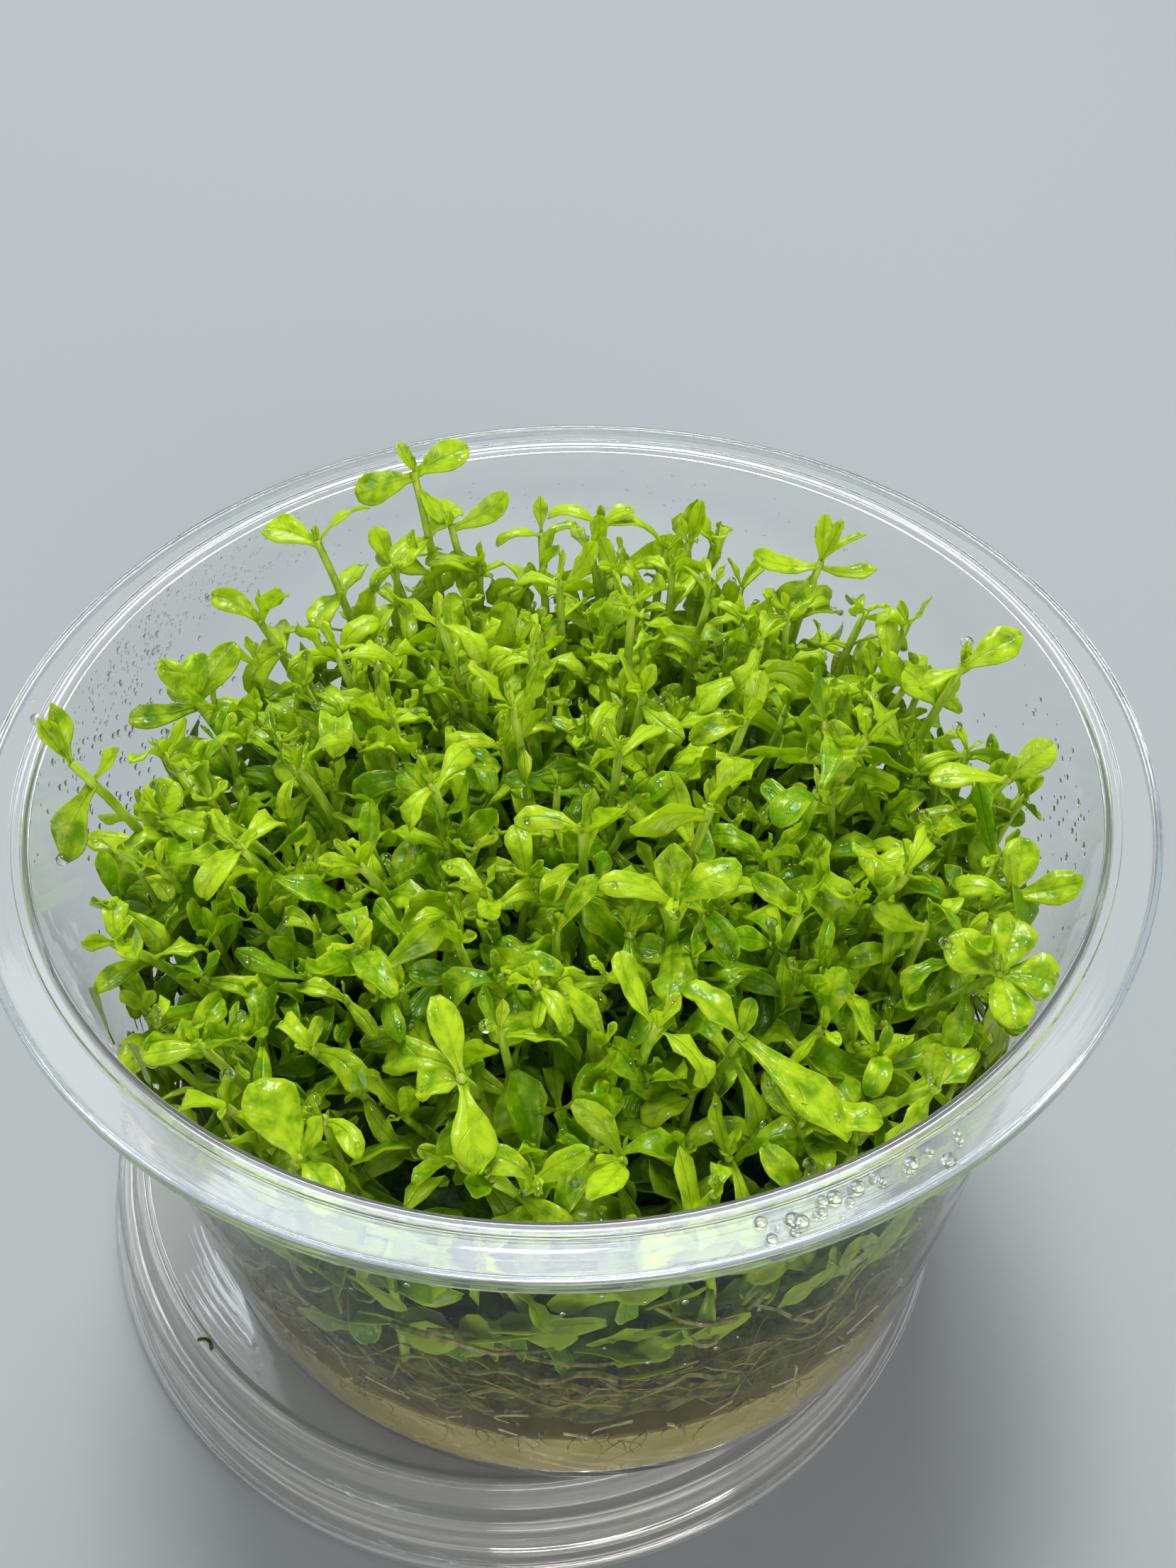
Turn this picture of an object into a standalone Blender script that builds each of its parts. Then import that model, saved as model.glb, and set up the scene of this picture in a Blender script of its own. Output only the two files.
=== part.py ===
"""A tuft of micranthemum on gel in a clear culture cup, which stands on its own clear lid.

Metres, +Z up. The origin is on the surface that the lid lies on, under the middle of the whole
object's box. The cup, the gel and the plants are made in the cup's frame: the cup's axis, with
height counted from the underside of its base.
"""

import math
import random

import bmesh
import bpy
from mathutils import Matrix, Vector, noise
from mathutils.bvhtree import BVHTree

MM = 0.001
GAP = 0.3 * MM
SWELLING = 1.4 * GAP
MERGE_DISTANCE = 0.01 * MM
TURN_STEPS = 44

# The cup: a thin tapered wall under a flat rim.
CUP_HEIGHT = 62.3 * MM
CUP_WALL = 0.8 * MM
CUP_FLOOR = 1.0 * MM
RIM_RADIUS = 52.0 * MM
RIM_INNER_RADIUS = 48.9 * MM
RIM_THICKNESS = 1.1 * MM
RIM_ROUNDING = 0.3 * MM
MOUTH_CHAMFER = 1.3 * MM
WALL_TOP_RADIUS = 48.65 * MM
WALL_FOOT_RADIUS = 45.5 * MM
FOOT_CHAMFER = 1.2 * MM

# The lid: a flat top, a shoulder one step down, and a skirt that ends in a wider lip.
LID_HEIGHT = 12.4 * MM
LID_WALL = 0.8 * MM
LID_TOP_RADIUS = 47.6 * MM
LID_EDGE_RADIUS = 48.6 * MM
LID_EDGE_DROP = 0.8 * MM
SHOULDER_INNER_RADIUS = 49.3 * MM
SHOULDER_RADIUS = 50.8 * MM
SHOULDER_HEIGHT = 9.1 * MM
SKIRT_RADIUS = 51.4 * MM
LIP_RADIUS = 52.95 * MM
LIP_HEIGHT = 2.3 * MM

# Where the cup stands on the lid, from the lid's axis.
CUP_SHIFT = Vector((6.85 * MM, -2.2 * MM))

# The gel, the mat of roots on it, and the closed bed of leaves on that.
GEL_TOP = 12.3 * MM
MAT_TOP = 21.5 * MM
MAT_RADIUS = 44.0 * MM
MAT_SQUARENESS = 5.0
MAT_LUMP_SIZE = 9.0 * MM
MAT_TOP_LUMP = 1.2 * MM
MAT_EDGE_LUMP = 0.02
BED_TOP = 52.5 * MM
BED_RADIUS = 41.5 * MM
BED_CENTRE = Vector((0.0, -2.8 * MM))
BED_SQUARENESS = 3.6
BED_LUMP = 2.0 * MM
BED_LUMP_SIZE = 11.0 * MM
BED_TIP_LENGTH = 3.6 * MM
BED_TIP_SHORTEST = 0.45
BED_TIP_SHARE = 0.66
BED_TIP_LEAN = 0.35
BED_TIP_RISE = 0.4
BED_LEAFY_FROM = 12.0 * MM

# The half ball that the mat and the bed start from, cut just above its middle.
BALL_CUT = 0.02
BALL_MERGE_DISTANCE = 0.03
FLAT_WITHIN = 1e-4

# The shoots: a thin stem with opposite pairs of leaves, each pair a quarter turn from the last.
STEM_RADIUS = 0.6 * MM
STEM_TOP_SHARE = 0.7
STEM_BOW = 0.25
LEAF_THICKNESS = 0.7 * MM
LEAF_LENGTH = 6.6 * MM
LEAF_SLENDERNESS = 0.5
LEAF_SIDES = 6
LEAF_BASE_SHARE = 0.72
LEAF_THICKEST_AT = 0.55
LEAF_DROOP = 0.22
LEAF_DROOP_POWER = 2.4
LEAF_RISE = math.radians(30)
LEAF_SHORTENING = 0.06
LEAF_SETBACK = 0.25 * MM
TURNS_TRIED = (0, 20, -20, 40, -40, 60, -60)
SIZES_TRIED = (1.0, 0.84, 0.7)
PAIR_SPACING = 4.6 * MM
PAIR_TURN = math.radians(90)
MOST_PAIRS = 3
FOOT_STEP = 0.1 * MM
FOOT_LEAN = 0.86
FOOT_CLEARING = 3.0 * MM

# Shoots that stand clear of the tuft: the top node in the cup's frame (x, y, height), the
# heading of the top pair of leaves in degrees, and the length of its leaves, in millimetres.
CLEAR_SHOOTS = {
    "shoot_back_left_tall": ((-16.6, 38.2, 65.0), 15, 7.6),
    "shoot_back_left": ((-27.2, 32.2, 60.4), 10, 7.2),
    "shoot_left_back": ((-38.0, 15.5, 57.3), 165, 7.0),
    "shoot_far_left": ((-42.0, -3.5, 62.0), 95, 7.4),
    "shoot_left_front": ((-38.5, -19.0, 56.0), 40, 6.6),
    "shoot_back_middle": ((-3.0, 40.5, 57.6), 60, 6.4),
    "shoot_back_arch": ((7.0, 40.0, 58.0), 0, 7.0),
    "shoot_back_pointed": ((17.0, 38.5, 58.2), 35, 7.0),
    "shoot_back_right_tall": ((28.6, 30.8, 61.0), 20, 6.6),
    "shoot_right_back": ((35.4, 19.5, 57.6), 100, 6.6),
    "shoot_right_tall": ((39.3, 8.6, 60.0), 25, 6.8),
    "shoot_right": ((40.4, -3.6, 58.2), 60, 6.8),
    "shoot_right_low": ((40.6, -15.0, 55.4), 20, 6.4),
    "shoot_right_front": ((35.2, -25.5, 55.0), 70, 6.2),
    "shoot_front_left_big": ((-22.0, -37.0, 58.2), 110, 7.6),
    "shoot_front": ((-8.0, -37.5, 57.0), 80, 7.0),
    "shoot_front_long_leaf": ((17.5, -36.5, 57.6), 130, 8.0),
    "shoot_front_right": ((28.5, -33.8, 55.0), 40, 6.6),
}

# The other shoots, set out in a sunflower spiral over the middle of the tuft.
SPIRAL_COUNT = 27
SPIRAL_RADIUS = 31.5 * MM
SPIRAL_CENTRE = Vector((0.5 * MM, -2.0 * MM))
SPIRAL_RISE = 8.0 * MM
SPIRAL_RISE_SPREAD = 1.6 * MM
GOLDEN_ANGLE = math.radians(137.508)
SEED = 7


def new_collection(name):
    """A collection of its own under the scene's."""
    collection = bpy.data.collections.new(name)
    bpy.context.scene.collection.children.link(collection)
    return collection


def finish(name, colour, roughness, alpha=1.0, transmission=0.0):
    """A Principled material; alpha and transmission make a clear one."""
    material = bpy.data.materials.new(name)
    material.use_nodes = True
    shader = material.node_tree.nodes["Principled BSDF"]
    shader.inputs["Base Color"].default_value = (*colour, 1.0)
    shader.inputs["Roughness"].default_value = roughness
    shader.inputs["Metallic"].default_value = 0.0
    shader.inputs["Alpha"].default_value = alpha
    shader.inputs["Transmission Weight"].default_value = transmission
    material.diffuse_color = (*colour, alpha)
    return material


def add_object(name, data, collection, material=None):
    """Links a new object that shows the mesh or curve."""
    made = bpy.data.objects.new(name, data)
    collection.objects.link(made)
    if material is not None:
        data.materials.append(material)
    return made


def mesh_from(bm, name):
    """The bmesh as a mesh with its faces pointing out; the bmesh is freed."""
    bmesh.ops.recalc_face_normals(bm, faces=bm.faces)
    mesh = bpy.data.meshes.new(name)
    bm.to_mesh(mesh)
    bm.free()
    return mesh


def turned(name, profile, collection, material):
    """A profile of (radius, height) points, axis to axis, turned about Z with a Screw modifier."""
    mesh = bpy.data.meshes.new(name)
    bm = bmesh.new()
    corners = [bm.verts.new((radius, 0.0, height)) for radius, height in profile]
    for upper, lower in zip(corners, corners[1:]):
        bm.edges.new((upper, lower))
    bm.to_mesh(mesh)
    bm.free()
    made = add_object(name, mesh, collection, material)
    screw = made.modifiers.new("turn", "SCREW")
    screw.steps = TURN_STEPS
    screw.render_steps = TURN_STEPS
    screw.use_merge_vertices = True
    screw.merge_threshold = MERGE_DISTANCE
    screw.use_smooth_shade = True
    return made


def inner_wall_radius(height):
    """The radius of the cup's inner wall at a height above the cup's base."""
    share = height / (CUP_HEIGHT - MOUTH_CHAMFER)
    return WALL_FOOT_RADIUS + (WALL_TOP_RADIUS - WALL_FOOT_RADIUS) * share - CUP_WALL


def cup_profile():
    """From the middle of the inner floor up the inside, over the rim and down the outside."""
    rim_underside = CUP_HEIGHT - RIM_THICKNESS
    mouth = CUP_HEIGHT - MOUTH_CHAMFER
    corner = CUP_FLOOR + FOOT_CHAMFER
    return [
        (0.0, CUP_FLOOR),
        (inner_wall_radius(corner) - FOOT_CHAMFER, CUP_FLOOR),
        (inner_wall_radius(corner), corner),
        (inner_wall_radius(mouth), mouth),
        (RIM_INNER_RADIUS, CUP_HEIGHT),
        (RIM_RADIUS - RIM_ROUNDING, CUP_HEIGHT),
        (RIM_RADIUS, CUP_HEIGHT - RIM_ROUNDING),
        (RIM_RADIUS, rim_underside),
        (WALL_TOP_RADIUS + RIM_ROUNDING, rim_underside),
        (WALL_TOP_RADIUS, rim_underside - RIM_THICKNESS),
        (WALL_FOOT_RADIUS, FOOT_CHAMFER),
        (WALL_FOOT_RADIUS - FOOT_CHAMFER, 0.0),
        (0.0, 0.0),
    ]


def lid_profile():
    """From the middle of the top down the outside to the lip, and back up the inside."""
    skirt_inside = SKIRT_RADIUS - LID_WALL
    shoulder_underside = SHOULDER_HEIGHT - LID_WALL
    return [
        (0.0, LID_HEIGHT),
        (LID_TOP_RADIUS, LID_HEIGHT),
        (LID_EDGE_RADIUS, LID_HEIGHT - LID_EDGE_DROP),
        (SHOULDER_INNER_RADIUS, SHOULDER_HEIGHT),
        (SHOULDER_RADIUS, SHOULDER_HEIGHT - RIM_ROUNDING),
        (SKIRT_RADIUS, LIP_HEIGHT),
        (LIP_RADIUS, LIP_HEIGHT),
        (LIP_RADIUS, 0.0),
        (LIP_RADIUS - LID_WALL, 0.0),
        (LIP_RADIUS - LID_WALL, LIP_HEIGHT - LID_WALL),
        (skirt_inside, LIP_HEIGHT - LID_WALL),
        (SHOULDER_RADIUS - LID_WALL, shoulder_underside),
        (SHOULDER_INNER_RADIUS - LID_WALL, shoulder_underside),
        (LID_EDGE_RADIUS - LID_WALL, LID_HEIGHT - LID_EDGE_DROP - LID_WALL / 2),
        (LID_TOP_RADIUS - LID_WALL, LID_HEIGHT - LID_WALL),
        (0.0, LID_HEIGHT - LID_WALL),
    ]


def gel_profile():
    """The gel fills the cup's foot, a gap clear of floor and wall."""
    floor = CUP_FLOOR + GAP
    corner = floor + FOOT_CHAMFER
    return [
        (0.0, GEL_TOP),
        (inner_wall_radius(GEL_TOP) - GAP, GEL_TOP),
        (inner_wall_radius(corner) - GAP, corner),
        (inner_wall_radius(corner) - GAP - FOOT_CHAMFER, floor),
        (0.0, floor),
    ]


def half_ball(subdivisions):
    """The upper half of a unit icosphere, cut flat through its middle and closed there."""
    bm = bmesh.new()
    bmesh.ops.create_icosphere(bm, subdivisions=subdivisions, radius=1.0)
    every = bm.verts[:] + bm.edges[:] + bm.faces[:]
    cut = bmesh.ops.bisect_plane(
        bm, geom=every, plane_co=(0, 0, BALL_CUT), plane_no=(0, 0, 1), clear_inner=True
    )
    rim = [item for item in cut["geom_cut"] if isinstance(item, bmesh.types.BMEdge)]
    bmesh.ops.contextual_create(bm, geom=rim)
    bmesh.ops.dissolve_degenerate(bm, dist=BALL_MERGE_DISTANCE, edges=bm.edges)
    return bm


def drum_point(point, radius, bottom, top, squareness):
    """Takes a point of the unit half ball to a drum with a rounded upper edge."""
    level = math.hypot(point.x, point.y)
    stretch = (level**squareness + abs(point.z) ** squareness) ** (-1.0 / squareness)
    return Vector(
        (
            point.x * stretch * radius,
            point.y * stretch * radius,
            bottom + max(0.0, point.z) * stretch * (top - bottom),
        )
    )


def root_mat(collection, material):
    """The mat of roots and stem bases: a low drum with an uneven top and edge."""
    bottom = GEL_TOP + GAP
    bm = half_ball(3)
    floor_level = min(vert.co.z for vert in bm.verts)
    for vert in bm.verts:
        on_floor = vert.co.z < floor_level + FLAT_WITHIN
        moved = drum_point(vert.co, MAT_RADIUS, bottom, MAT_TOP, MAT_SQUARENESS)
        unevenness = abs(noise.noise(moved / MAT_LUMP_SIZE))
        moved.x *= 1.0 - MAT_EDGE_LUMP * unevenness
        moved.y *= 1.0 - MAT_EDGE_LUMP * unevenness
        moved.z = bottom if on_floor else moved.z - MAT_TOP_LUMP * unevenness
        vert.co = moved
    return add_object("root_mat", mesh_from(bm, "root_mat"), collection, material)


def leaf_bed(collection, material, feet, chance):
    """The closed bed: a lumpy drum whose upper faces rise into leaf tips, but not at a foot."""
    bottom = MAT_TOP + GAP
    bm = half_ball(4)
    floor_level = min(vert.co.z for vert in bm.verts)
    for vert in bm.verts:
        on_floor = vert.co.z < floor_level + FLAT_WITHIN
        outward = vert.co.normalized()
        moved = drum_point(vert.co, BED_RADIUS, bottom, BED_TOP, BED_SQUARENESS)
        if on_floor:
            moved.z = bottom
        else:
            moved += outward * noise.noise(moved / BED_LUMP_SIZE) * BED_LUMP
            moved.z = max(moved.z, bottom + GAP)
        vert.co = moved + BED_CENTRE.to_3d()
    leafy = []
    for face in bm.faces:
        centre = face.calc_center_median()
        nearest = min((centre.xy - foot).length for foot in feet)
        high = centre.z > bottom + BED_LEAFY_FROM
        if high and nearest > FOOT_CLEARING and chance.random() < BED_TIP_SHARE:
            leafy.append(face)
    tips = bmesh.ops.poke(bm, faces=leafy)["verts"]
    for tip in tips:
        side = Vector((chance.uniform(-1, 1), chance.uniform(-1, 1), 0.0))
        push = tip.normal + side * BED_TIP_LEAN + Vector((0.0, 0.0, BED_TIP_RISE))
        tip.co += push.normalized() * BED_TIP_LENGTH * chance.uniform(BED_TIP_SHORTEST, 1.0)
    for vert in bm.verts:
        limit = inner_wall_radius(vert.co.z) - 2 * GAP
        reach = vert.co.xy.length
        if reach > limit:
            vert.co.x *= limit / reach
            vert.co.y *= limit / reach
    return add_object("leaf_bed", mesh_from(bm, "leaf_bed"), collection, material)


def leaf_mesh(name, base, heading, length):
    """One leaf as a thin closed blade, widest past its middle, rising and then drooping."""
    bm = bmesh.new()
    bmesh.ops.create_uvsphere(bm, u_segments=LEAF_SIDES, v_segments=2, radius=1.0)
    half_side = Matrix.Rotation(math.pi / LEAF_SIDES, 3, "Z")
    bmesh.ops.rotate(bm, verts=bm.verts, matrix=half_side)
    widest = max(vert.co.y for vert in bm.verts)
    half_width = length * LEAF_SLENDERNESS / 2
    for vert in bm.verts:
        is_pole = abs(vert.co.z) > 0.5
        along = LEAF_THICKEST_AT if is_pole else (1.0 + vert.co.x) / 2
        spread = 1.0 if vert.co.x > 0 else LEAF_BASE_SHARE
        droop = LEAF_DROOP * length * along**LEAF_DROOP_POWER
        vert.co = Vector(
            (
                along * length - LEAF_SETBACK,
                vert.co.y / widest * spread * half_width,
                vert.co.z * LEAF_THICKNESS / 2 - droop,
            )
        )
    lift = Matrix.Rotation(-LEAF_RISE, 4, "Y")
    turn = Matrix.Rotation(heading, 4, "Z")
    bmesh.ops.transform(bm, matrix=Matrix.Translation(base) @ turn @ lift, verts=bm.verts)
    return mesh_from(bm, name)


def stem_mesh(name, points, collection):
    """A four-sided stem along the points, as a closed mesh."""
    curve = bpy.data.curves.new(name, "CURVE")
    curve.dimensions = "3D"
    curve.bevel_depth = STEM_RADIUS
    curve.bevel_resolution = 0
    curve.use_fill_caps = True
    spline = curve.splines.new("POLY")
    spline.points.add(len(points) - 1)
    for spot, point in zip(spline.points, points):
        spot.co = (*point, 1.0)
    spline.points[-1].radius = STEM_TOP_SHARE
    wire = add_object(name, curve, collection)
    bpy.context.view_layer.update()
    seen = wire.evaluated_get(bpy.context.evaluated_depsgraph_get())
    mesh = bpy.data.meshes.new_from_object(seen)
    bpy.data.objects.remove(wire)
    bm = bmesh.new()
    bm.from_mesh(mesh)
    bmesh.ops.remove_doubles(bm, verts=bm.verts, dist=MERGE_DISTANCE)
    bpy.data.meshes.remove(mesh)
    return mesh_from(bm, name)


def united(name, meshes, collection):
    """The closed meshes joined into one body with exact Boolean unions."""
    whole = add_object(name, meshes[0], collection)
    others = []
    for number, mesh in enumerate(meshes[1:]):
        other = add_object(f"{name}_leaf_{number}", mesh, collection)
        others.append(other)
        union = whole.modifiers.new(f"leaf {number}", "BOOLEAN")
        union.operation = "UNION"
        union.solver = "EXACT"
        union.object = other
    bpy.context.view_layer.update()
    seen = whole.evaluated_get(bpy.context.evaluated_depsgraph_get())
    joined = bpy.data.meshes.new_from_object(seen)
    for done in [whole, *others]:
        bpy.data.objects.remove(done)
    return joined


def tree_of(mesh):
    """A search tree of a mesh's faces."""
    bm = bmesh.new()
    bm.from_mesh(mesh)
    tree = BVHTree.FromBMesh(bm)
    bm.free()
    return tree


def swollen_tree(mesh):
    """A search tree of the mesh grown by the gap that neighbours keep."""
    bm = bmesh.new()
    bm.from_mesh(mesh)
    bm.normal_update()
    for vert in bm.verts:
        vert.co += vert.normal * SWELLING
    tree = BVHTree.FromBMesh(bm)
    bm.free()
    return tree


def is_clear(mesh, standing):
    """Whether the mesh keeps the gap to the cup's inner wall and to what stands already."""
    for vert in mesh.vertices:
        height = min(vert.co.z, CUP_HEIGHT - MOUTH_CHAMFER)
        if vert.co.xy.length > inner_wall_radius(height) - GAP:
            return False
    grown = swollen_tree(mesh)
    return not any(grown.overlap(tree) for tree in standing)


def landing_below(spot, bed_tree):
    """Where the bed's surface lies under a point of the plan."""
    above = Vector((spot.x, spot.y, CUP_HEIGHT * 2))
    return bed_tree.ray_cast(above, Vector((0, 0, -1)))[0]


def standing_stem(name, top, bed_tree, standing, collection):
    """The stem's points and mesh, from a foot just clear of the bed up to the top node."""
    foot = landing_below(top.xy * FOOT_LEAN, bed_tree)
    while True:
        foot = foot + Vector((0, 0, FOOT_STEP))
        inward = Vector((foot.x - top.x, foot.y - top.y, 0.0))
        points = [foot, (foot + top) / 2 + inward * STEM_BOW, top]
        mesh = stem_mesh(name, points, collection)
        if is_clear(mesh, standing):
            return points, mesh
        bpy.data.meshes.remove(mesh)


def clear_leaf(name, node, heading, length, standing):
    """A leaf at the node near this heading that is clear of all, or None if none is."""
    for size in SIZES_TRIED:
        for turn in TURNS_TRIED:
            mesh = leaf_mesh(name, node, heading + math.radians(turn), length * size)
            if is_clear(mesh, standing):
                return mesh
            bpy.data.meshes.remove(mesh)
    return None


def point_along(points, distance_from_top):
    """The point on the stem this far below its top, or None past its foot."""
    left = distance_from_top
    for upper, lower in zip(points[::-1], points[-2::-1]):
        step = lower - upper
        if step.length >= left:
            return upper + step.normalized() * left
        left -= step.length
    return None


def shoot_mesh(name, top, heading, leaf_length, bed_tree, standing, collection):
    """A stem with pairs of leaves from its top down, as one closed mesh."""
    points, stem = standing_stem(name, top, bed_tree, standing, collection)
    meshes = [stem]
    for pair in range(MOST_PAIRS):
        node = point_along(points, STEM_RADIUS + pair * PAIR_SPACING)
        if node is None or (pair > 0 and node.z - points[0].z < PAIR_SPACING / 2):
            break
        length = leaf_length * (1.0 - LEAF_SHORTENING * pair)
        for side in (0, math.pi):
            turn = heading + pair * PAIR_TURN + side
            leaf = clear_leaf(f"{name}_leaf", node, turn, length, standing)
            if leaf is not None:
                meshes.append(leaf)
    return united(name, meshes, collection)


def spiral_spots():
    """The plan of the spiral's shoots."""
    spots = []
    for number in range(SPIRAL_COUNT):
        reach = SPIRAL_RADIUS * math.sqrt((number + 0.5) / SPIRAL_COUNT)
        angle = number * GOLDEN_ANGLE
        spots.append(SPIRAL_CENTRE + Vector((math.cos(angle), math.sin(angle))) * reach)
    return spots


def shoots(bed, collection, material, chance):
    """All shoots, one after another, each clear of those before it."""
    bed_tree = tree_of(bed.data)
    wanted = []
    for name, (top, heading, length) in CLEAR_SHOOTS.items():
        wanted.append((name, Vector(top) * MM, math.radians(heading), length * MM))
    for number, spot in enumerate(spiral_spots(), start=1):
        rise = SPIRAL_RISE + chance.uniform(-1, 1) * SPIRAL_RISE_SPREAD
        top = landing_below(spot * FOOT_LEAN, bed_tree)
        top = Vector((spot.x, spot.y, top.z + rise))
        wanted.append((f"shoot_{number:02d}", top, number * GOLDEN_ANGLE, LEAF_LENGTH))
    standing = [bed_tree]
    made = []
    for name, top, heading, length in wanted:
        mesh = shoot_mesh(name, top, heading, length, bed_tree, standing, collection)
        mesh.name = name
        standing.append(tree_of(mesh))
        made.append(add_object(name, mesh, collection, material))
    return made


def build():
    """Makes every piece and puts it in place."""
    for old in list(bpy.data.objects):
        bpy.data.objects.remove(old)
    chance = random.Random(SEED)
    collection = new_collection("micranthemum_cup")

    clear = finish("clear plastic", (0.86, 0.89, 0.90), 0.06, 0.3, 1.0)
    clear_lid = finish("clear lid plastic", (0.84, 0.88, 0.88), 0.08, 0.3, 1.0)
    jelly = finish("culture gel", (0.62, 0.62, 0.47), 0.2, 0.6, 0.6)
    roots = finish("root mat", (0.27, 0.26, 0.13), 0.7)
    shade_leaf = finish("shaded leaves", (0.13, 0.27, 0.03), 0.45)
    lit_leaf = finish("lit leaves", (0.30, 0.50, 0.06), 0.35)

    low = Vector((-LIP_RADIUS, CUP_SHIFT.y - RIM_RADIUS))
    high = Vector((CUP_SHIFT.x + RIM_RADIUS, LIP_RADIUS))
    middle = (low + high) / 2

    lid = turned("lid", lid_profile(), collection, clear_lid)
    lid.location = (-middle.x, -middle.y, 0.0)

    cup_place = bpy.data.objects.new("cup_place", None)
    collection.objects.link(cup_place)
    cup_place.location = (CUP_SHIFT.x - middle.x, CUP_SHIFT.y - middle.y, LID_HEIGHT + GAP)

    cup = turned("cup", cup_profile(), collection, clear)
    gel = turned("gel", gel_profile(), collection, jelly)
    mat = root_mat(collection, roots)
    tops = [Vector(top).xy * MM for top, heading, length in CLEAR_SHOOTS.values()]
    feet = [spot * FOOT_LEAN for spot in tops + spiral_spots()]
    bed = leaf_bed(collection, shade_leaf, feet, chance)
    for piece in [cup, gel, mat, bed, *shoots(bed, collection, lit_leaf, chance)]:
        piece.parent = cup_place


build()
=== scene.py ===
"""The looks of a tuft of micranthemum on gel in a clear culture cup that stands on its own lid.

Metres, +Z up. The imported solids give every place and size. Plants, gel and cup are modelled in
the cup's frame, which is the cup's axis with heights counted from the underside of its base,
and are set down in their place when they are finished.
"""

import logging
import math
import random
from collections.abc import Iterable
from dataclasses import dataclass, field, replace
from enum import Enum

import bmesh
import bpy
from mathutils import Matrix, Vector, noise


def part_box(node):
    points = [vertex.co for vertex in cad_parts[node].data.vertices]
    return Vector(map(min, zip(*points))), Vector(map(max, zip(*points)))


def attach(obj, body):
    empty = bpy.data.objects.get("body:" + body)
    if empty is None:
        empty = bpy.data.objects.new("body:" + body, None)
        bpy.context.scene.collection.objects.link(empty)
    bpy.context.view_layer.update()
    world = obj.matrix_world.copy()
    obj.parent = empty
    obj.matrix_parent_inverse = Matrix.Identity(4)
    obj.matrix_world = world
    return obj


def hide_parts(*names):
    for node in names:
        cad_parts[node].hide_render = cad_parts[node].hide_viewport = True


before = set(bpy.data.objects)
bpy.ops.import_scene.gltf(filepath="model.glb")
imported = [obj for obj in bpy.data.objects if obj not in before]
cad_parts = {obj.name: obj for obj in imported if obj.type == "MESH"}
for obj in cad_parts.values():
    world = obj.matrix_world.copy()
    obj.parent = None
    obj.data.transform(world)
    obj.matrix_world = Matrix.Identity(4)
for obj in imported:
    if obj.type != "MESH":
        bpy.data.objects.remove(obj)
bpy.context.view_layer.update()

log = logging.getLogger("micranthemum")

MM = 0.001
GOLDEN_ANGLE = math.radians(137.508)
UP = Vector((0.0, 0.0, 1.0))
HARD_EDGE = math.radians(50)
TURNED_EDGE = math.radians(60)
SOFT_EDGE = math.radians(130)
STREAK_REACH = 50.0 * MM
TROUGH_POWER = 1.7
STEM_SIDES = 7
ROOT_SIDES = 5

Triple = tuple[float, float, float]
Colour = Triple


def paint(red: int, green: int, blue: int) -> Colour:
    """Turns a screen colour into the linear one that shaders take.

    Args:
        red: Red from 0 to 255.
        green: Green from 0 to 255.
        blue: Blue from 0 to 255.

    Returns:
        The same colour in linear light.
    """
    shares = [level / 255.0 for level in (red, green, blue)]
    linear = [s / 12.92 if s <= 0.04045 else ((s + 0.055) / 1.055) ** 2.4 for s in shares]
    return linear[0], linear[1], linear[2]


class Slot(Enum):
    """The record's material slots."""

    CUP = "clear_cup"
    LID = "clear_lid"
    GEL = "gel"
    ROOTS = "roots"
    BED = "bed_leaves"
    SHOOTS = "shoot_leaves"


class Tip(Enum):
    """How a leaf ends: the power that shapes its outline."""

    ROUND = 0.48
    BLUNT = 0.66
    POINTED = 1.1


@dataclass(frozen=True)
class Signal:
    """What one node gives, with Python's operators worked as Math nodes."""

    bench: "Bench"
    socket: bpy.types.NodeSocket

    def worked(
        self, operation: str, first: "Signal | float", second: "Signal | float" = 0.0
    ) -> "Signal":
        """Adds a Math node.

        Args:
            operation: The Math node's operation.
            first: The first operand.
            second: The second operand.

        Returns:
            The result.
        """
        return self.bench.node("ShaderNodeMath", {"operation": operation}, {0: first, 1: second})

    def __add__(self, other: "Signal | float") -> "Signal":
        """Sum."""
        return self.worked("ADD", self, other)

    def __radd__(self, other: float) -> "Signal":
        """Sum with a number on the left."""
        return self.worked("ADD", other, self)

    def __sub__(self, other: "Signal | float") -> "Signal":
        """Difference."""
        return self.worked("SUBTRACT", self, other)

    def __rsub__(self, other: float) -> "Signal":
        """Difference from a number on the left."""
        return self.worked("SUBTRACT", other, self)

    def __mul__(self, other: "Signal | float") -> "Signal":
        """Product."""
        return self.worked("MULTIPLY", self, other)

    def __rmul__(self, other: float) -> "Signal":
        """Product with a number on the left."""
        return self.worked("MULTIPLY", other, self)

    def __abs__(self) -> "Signal":
        """Size without its sign."""
        return self.worked("ABSOLUTE", self)

    def wave(self) -> "Signal":
        """Sine of the signal in radians."""
        return self.worked("SINE", self)

    def ramp(self, low: float, high: float) -> "Signal":
        """Eases the signal from 0 at low to 1 at high.

        Args:
            low: The value that gives 0.
            high: The value that gives 1; it may be below low.

        Returns:
            The eased signal.
        """
        return self.bench.node(
            "ShaderNodeMapRange",
            {"interpolation_type": "SMOOTHSTEP"},
            {0: self, 1: low, 2: high, 3: 0.0, 4: 1.0},
        )


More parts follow.
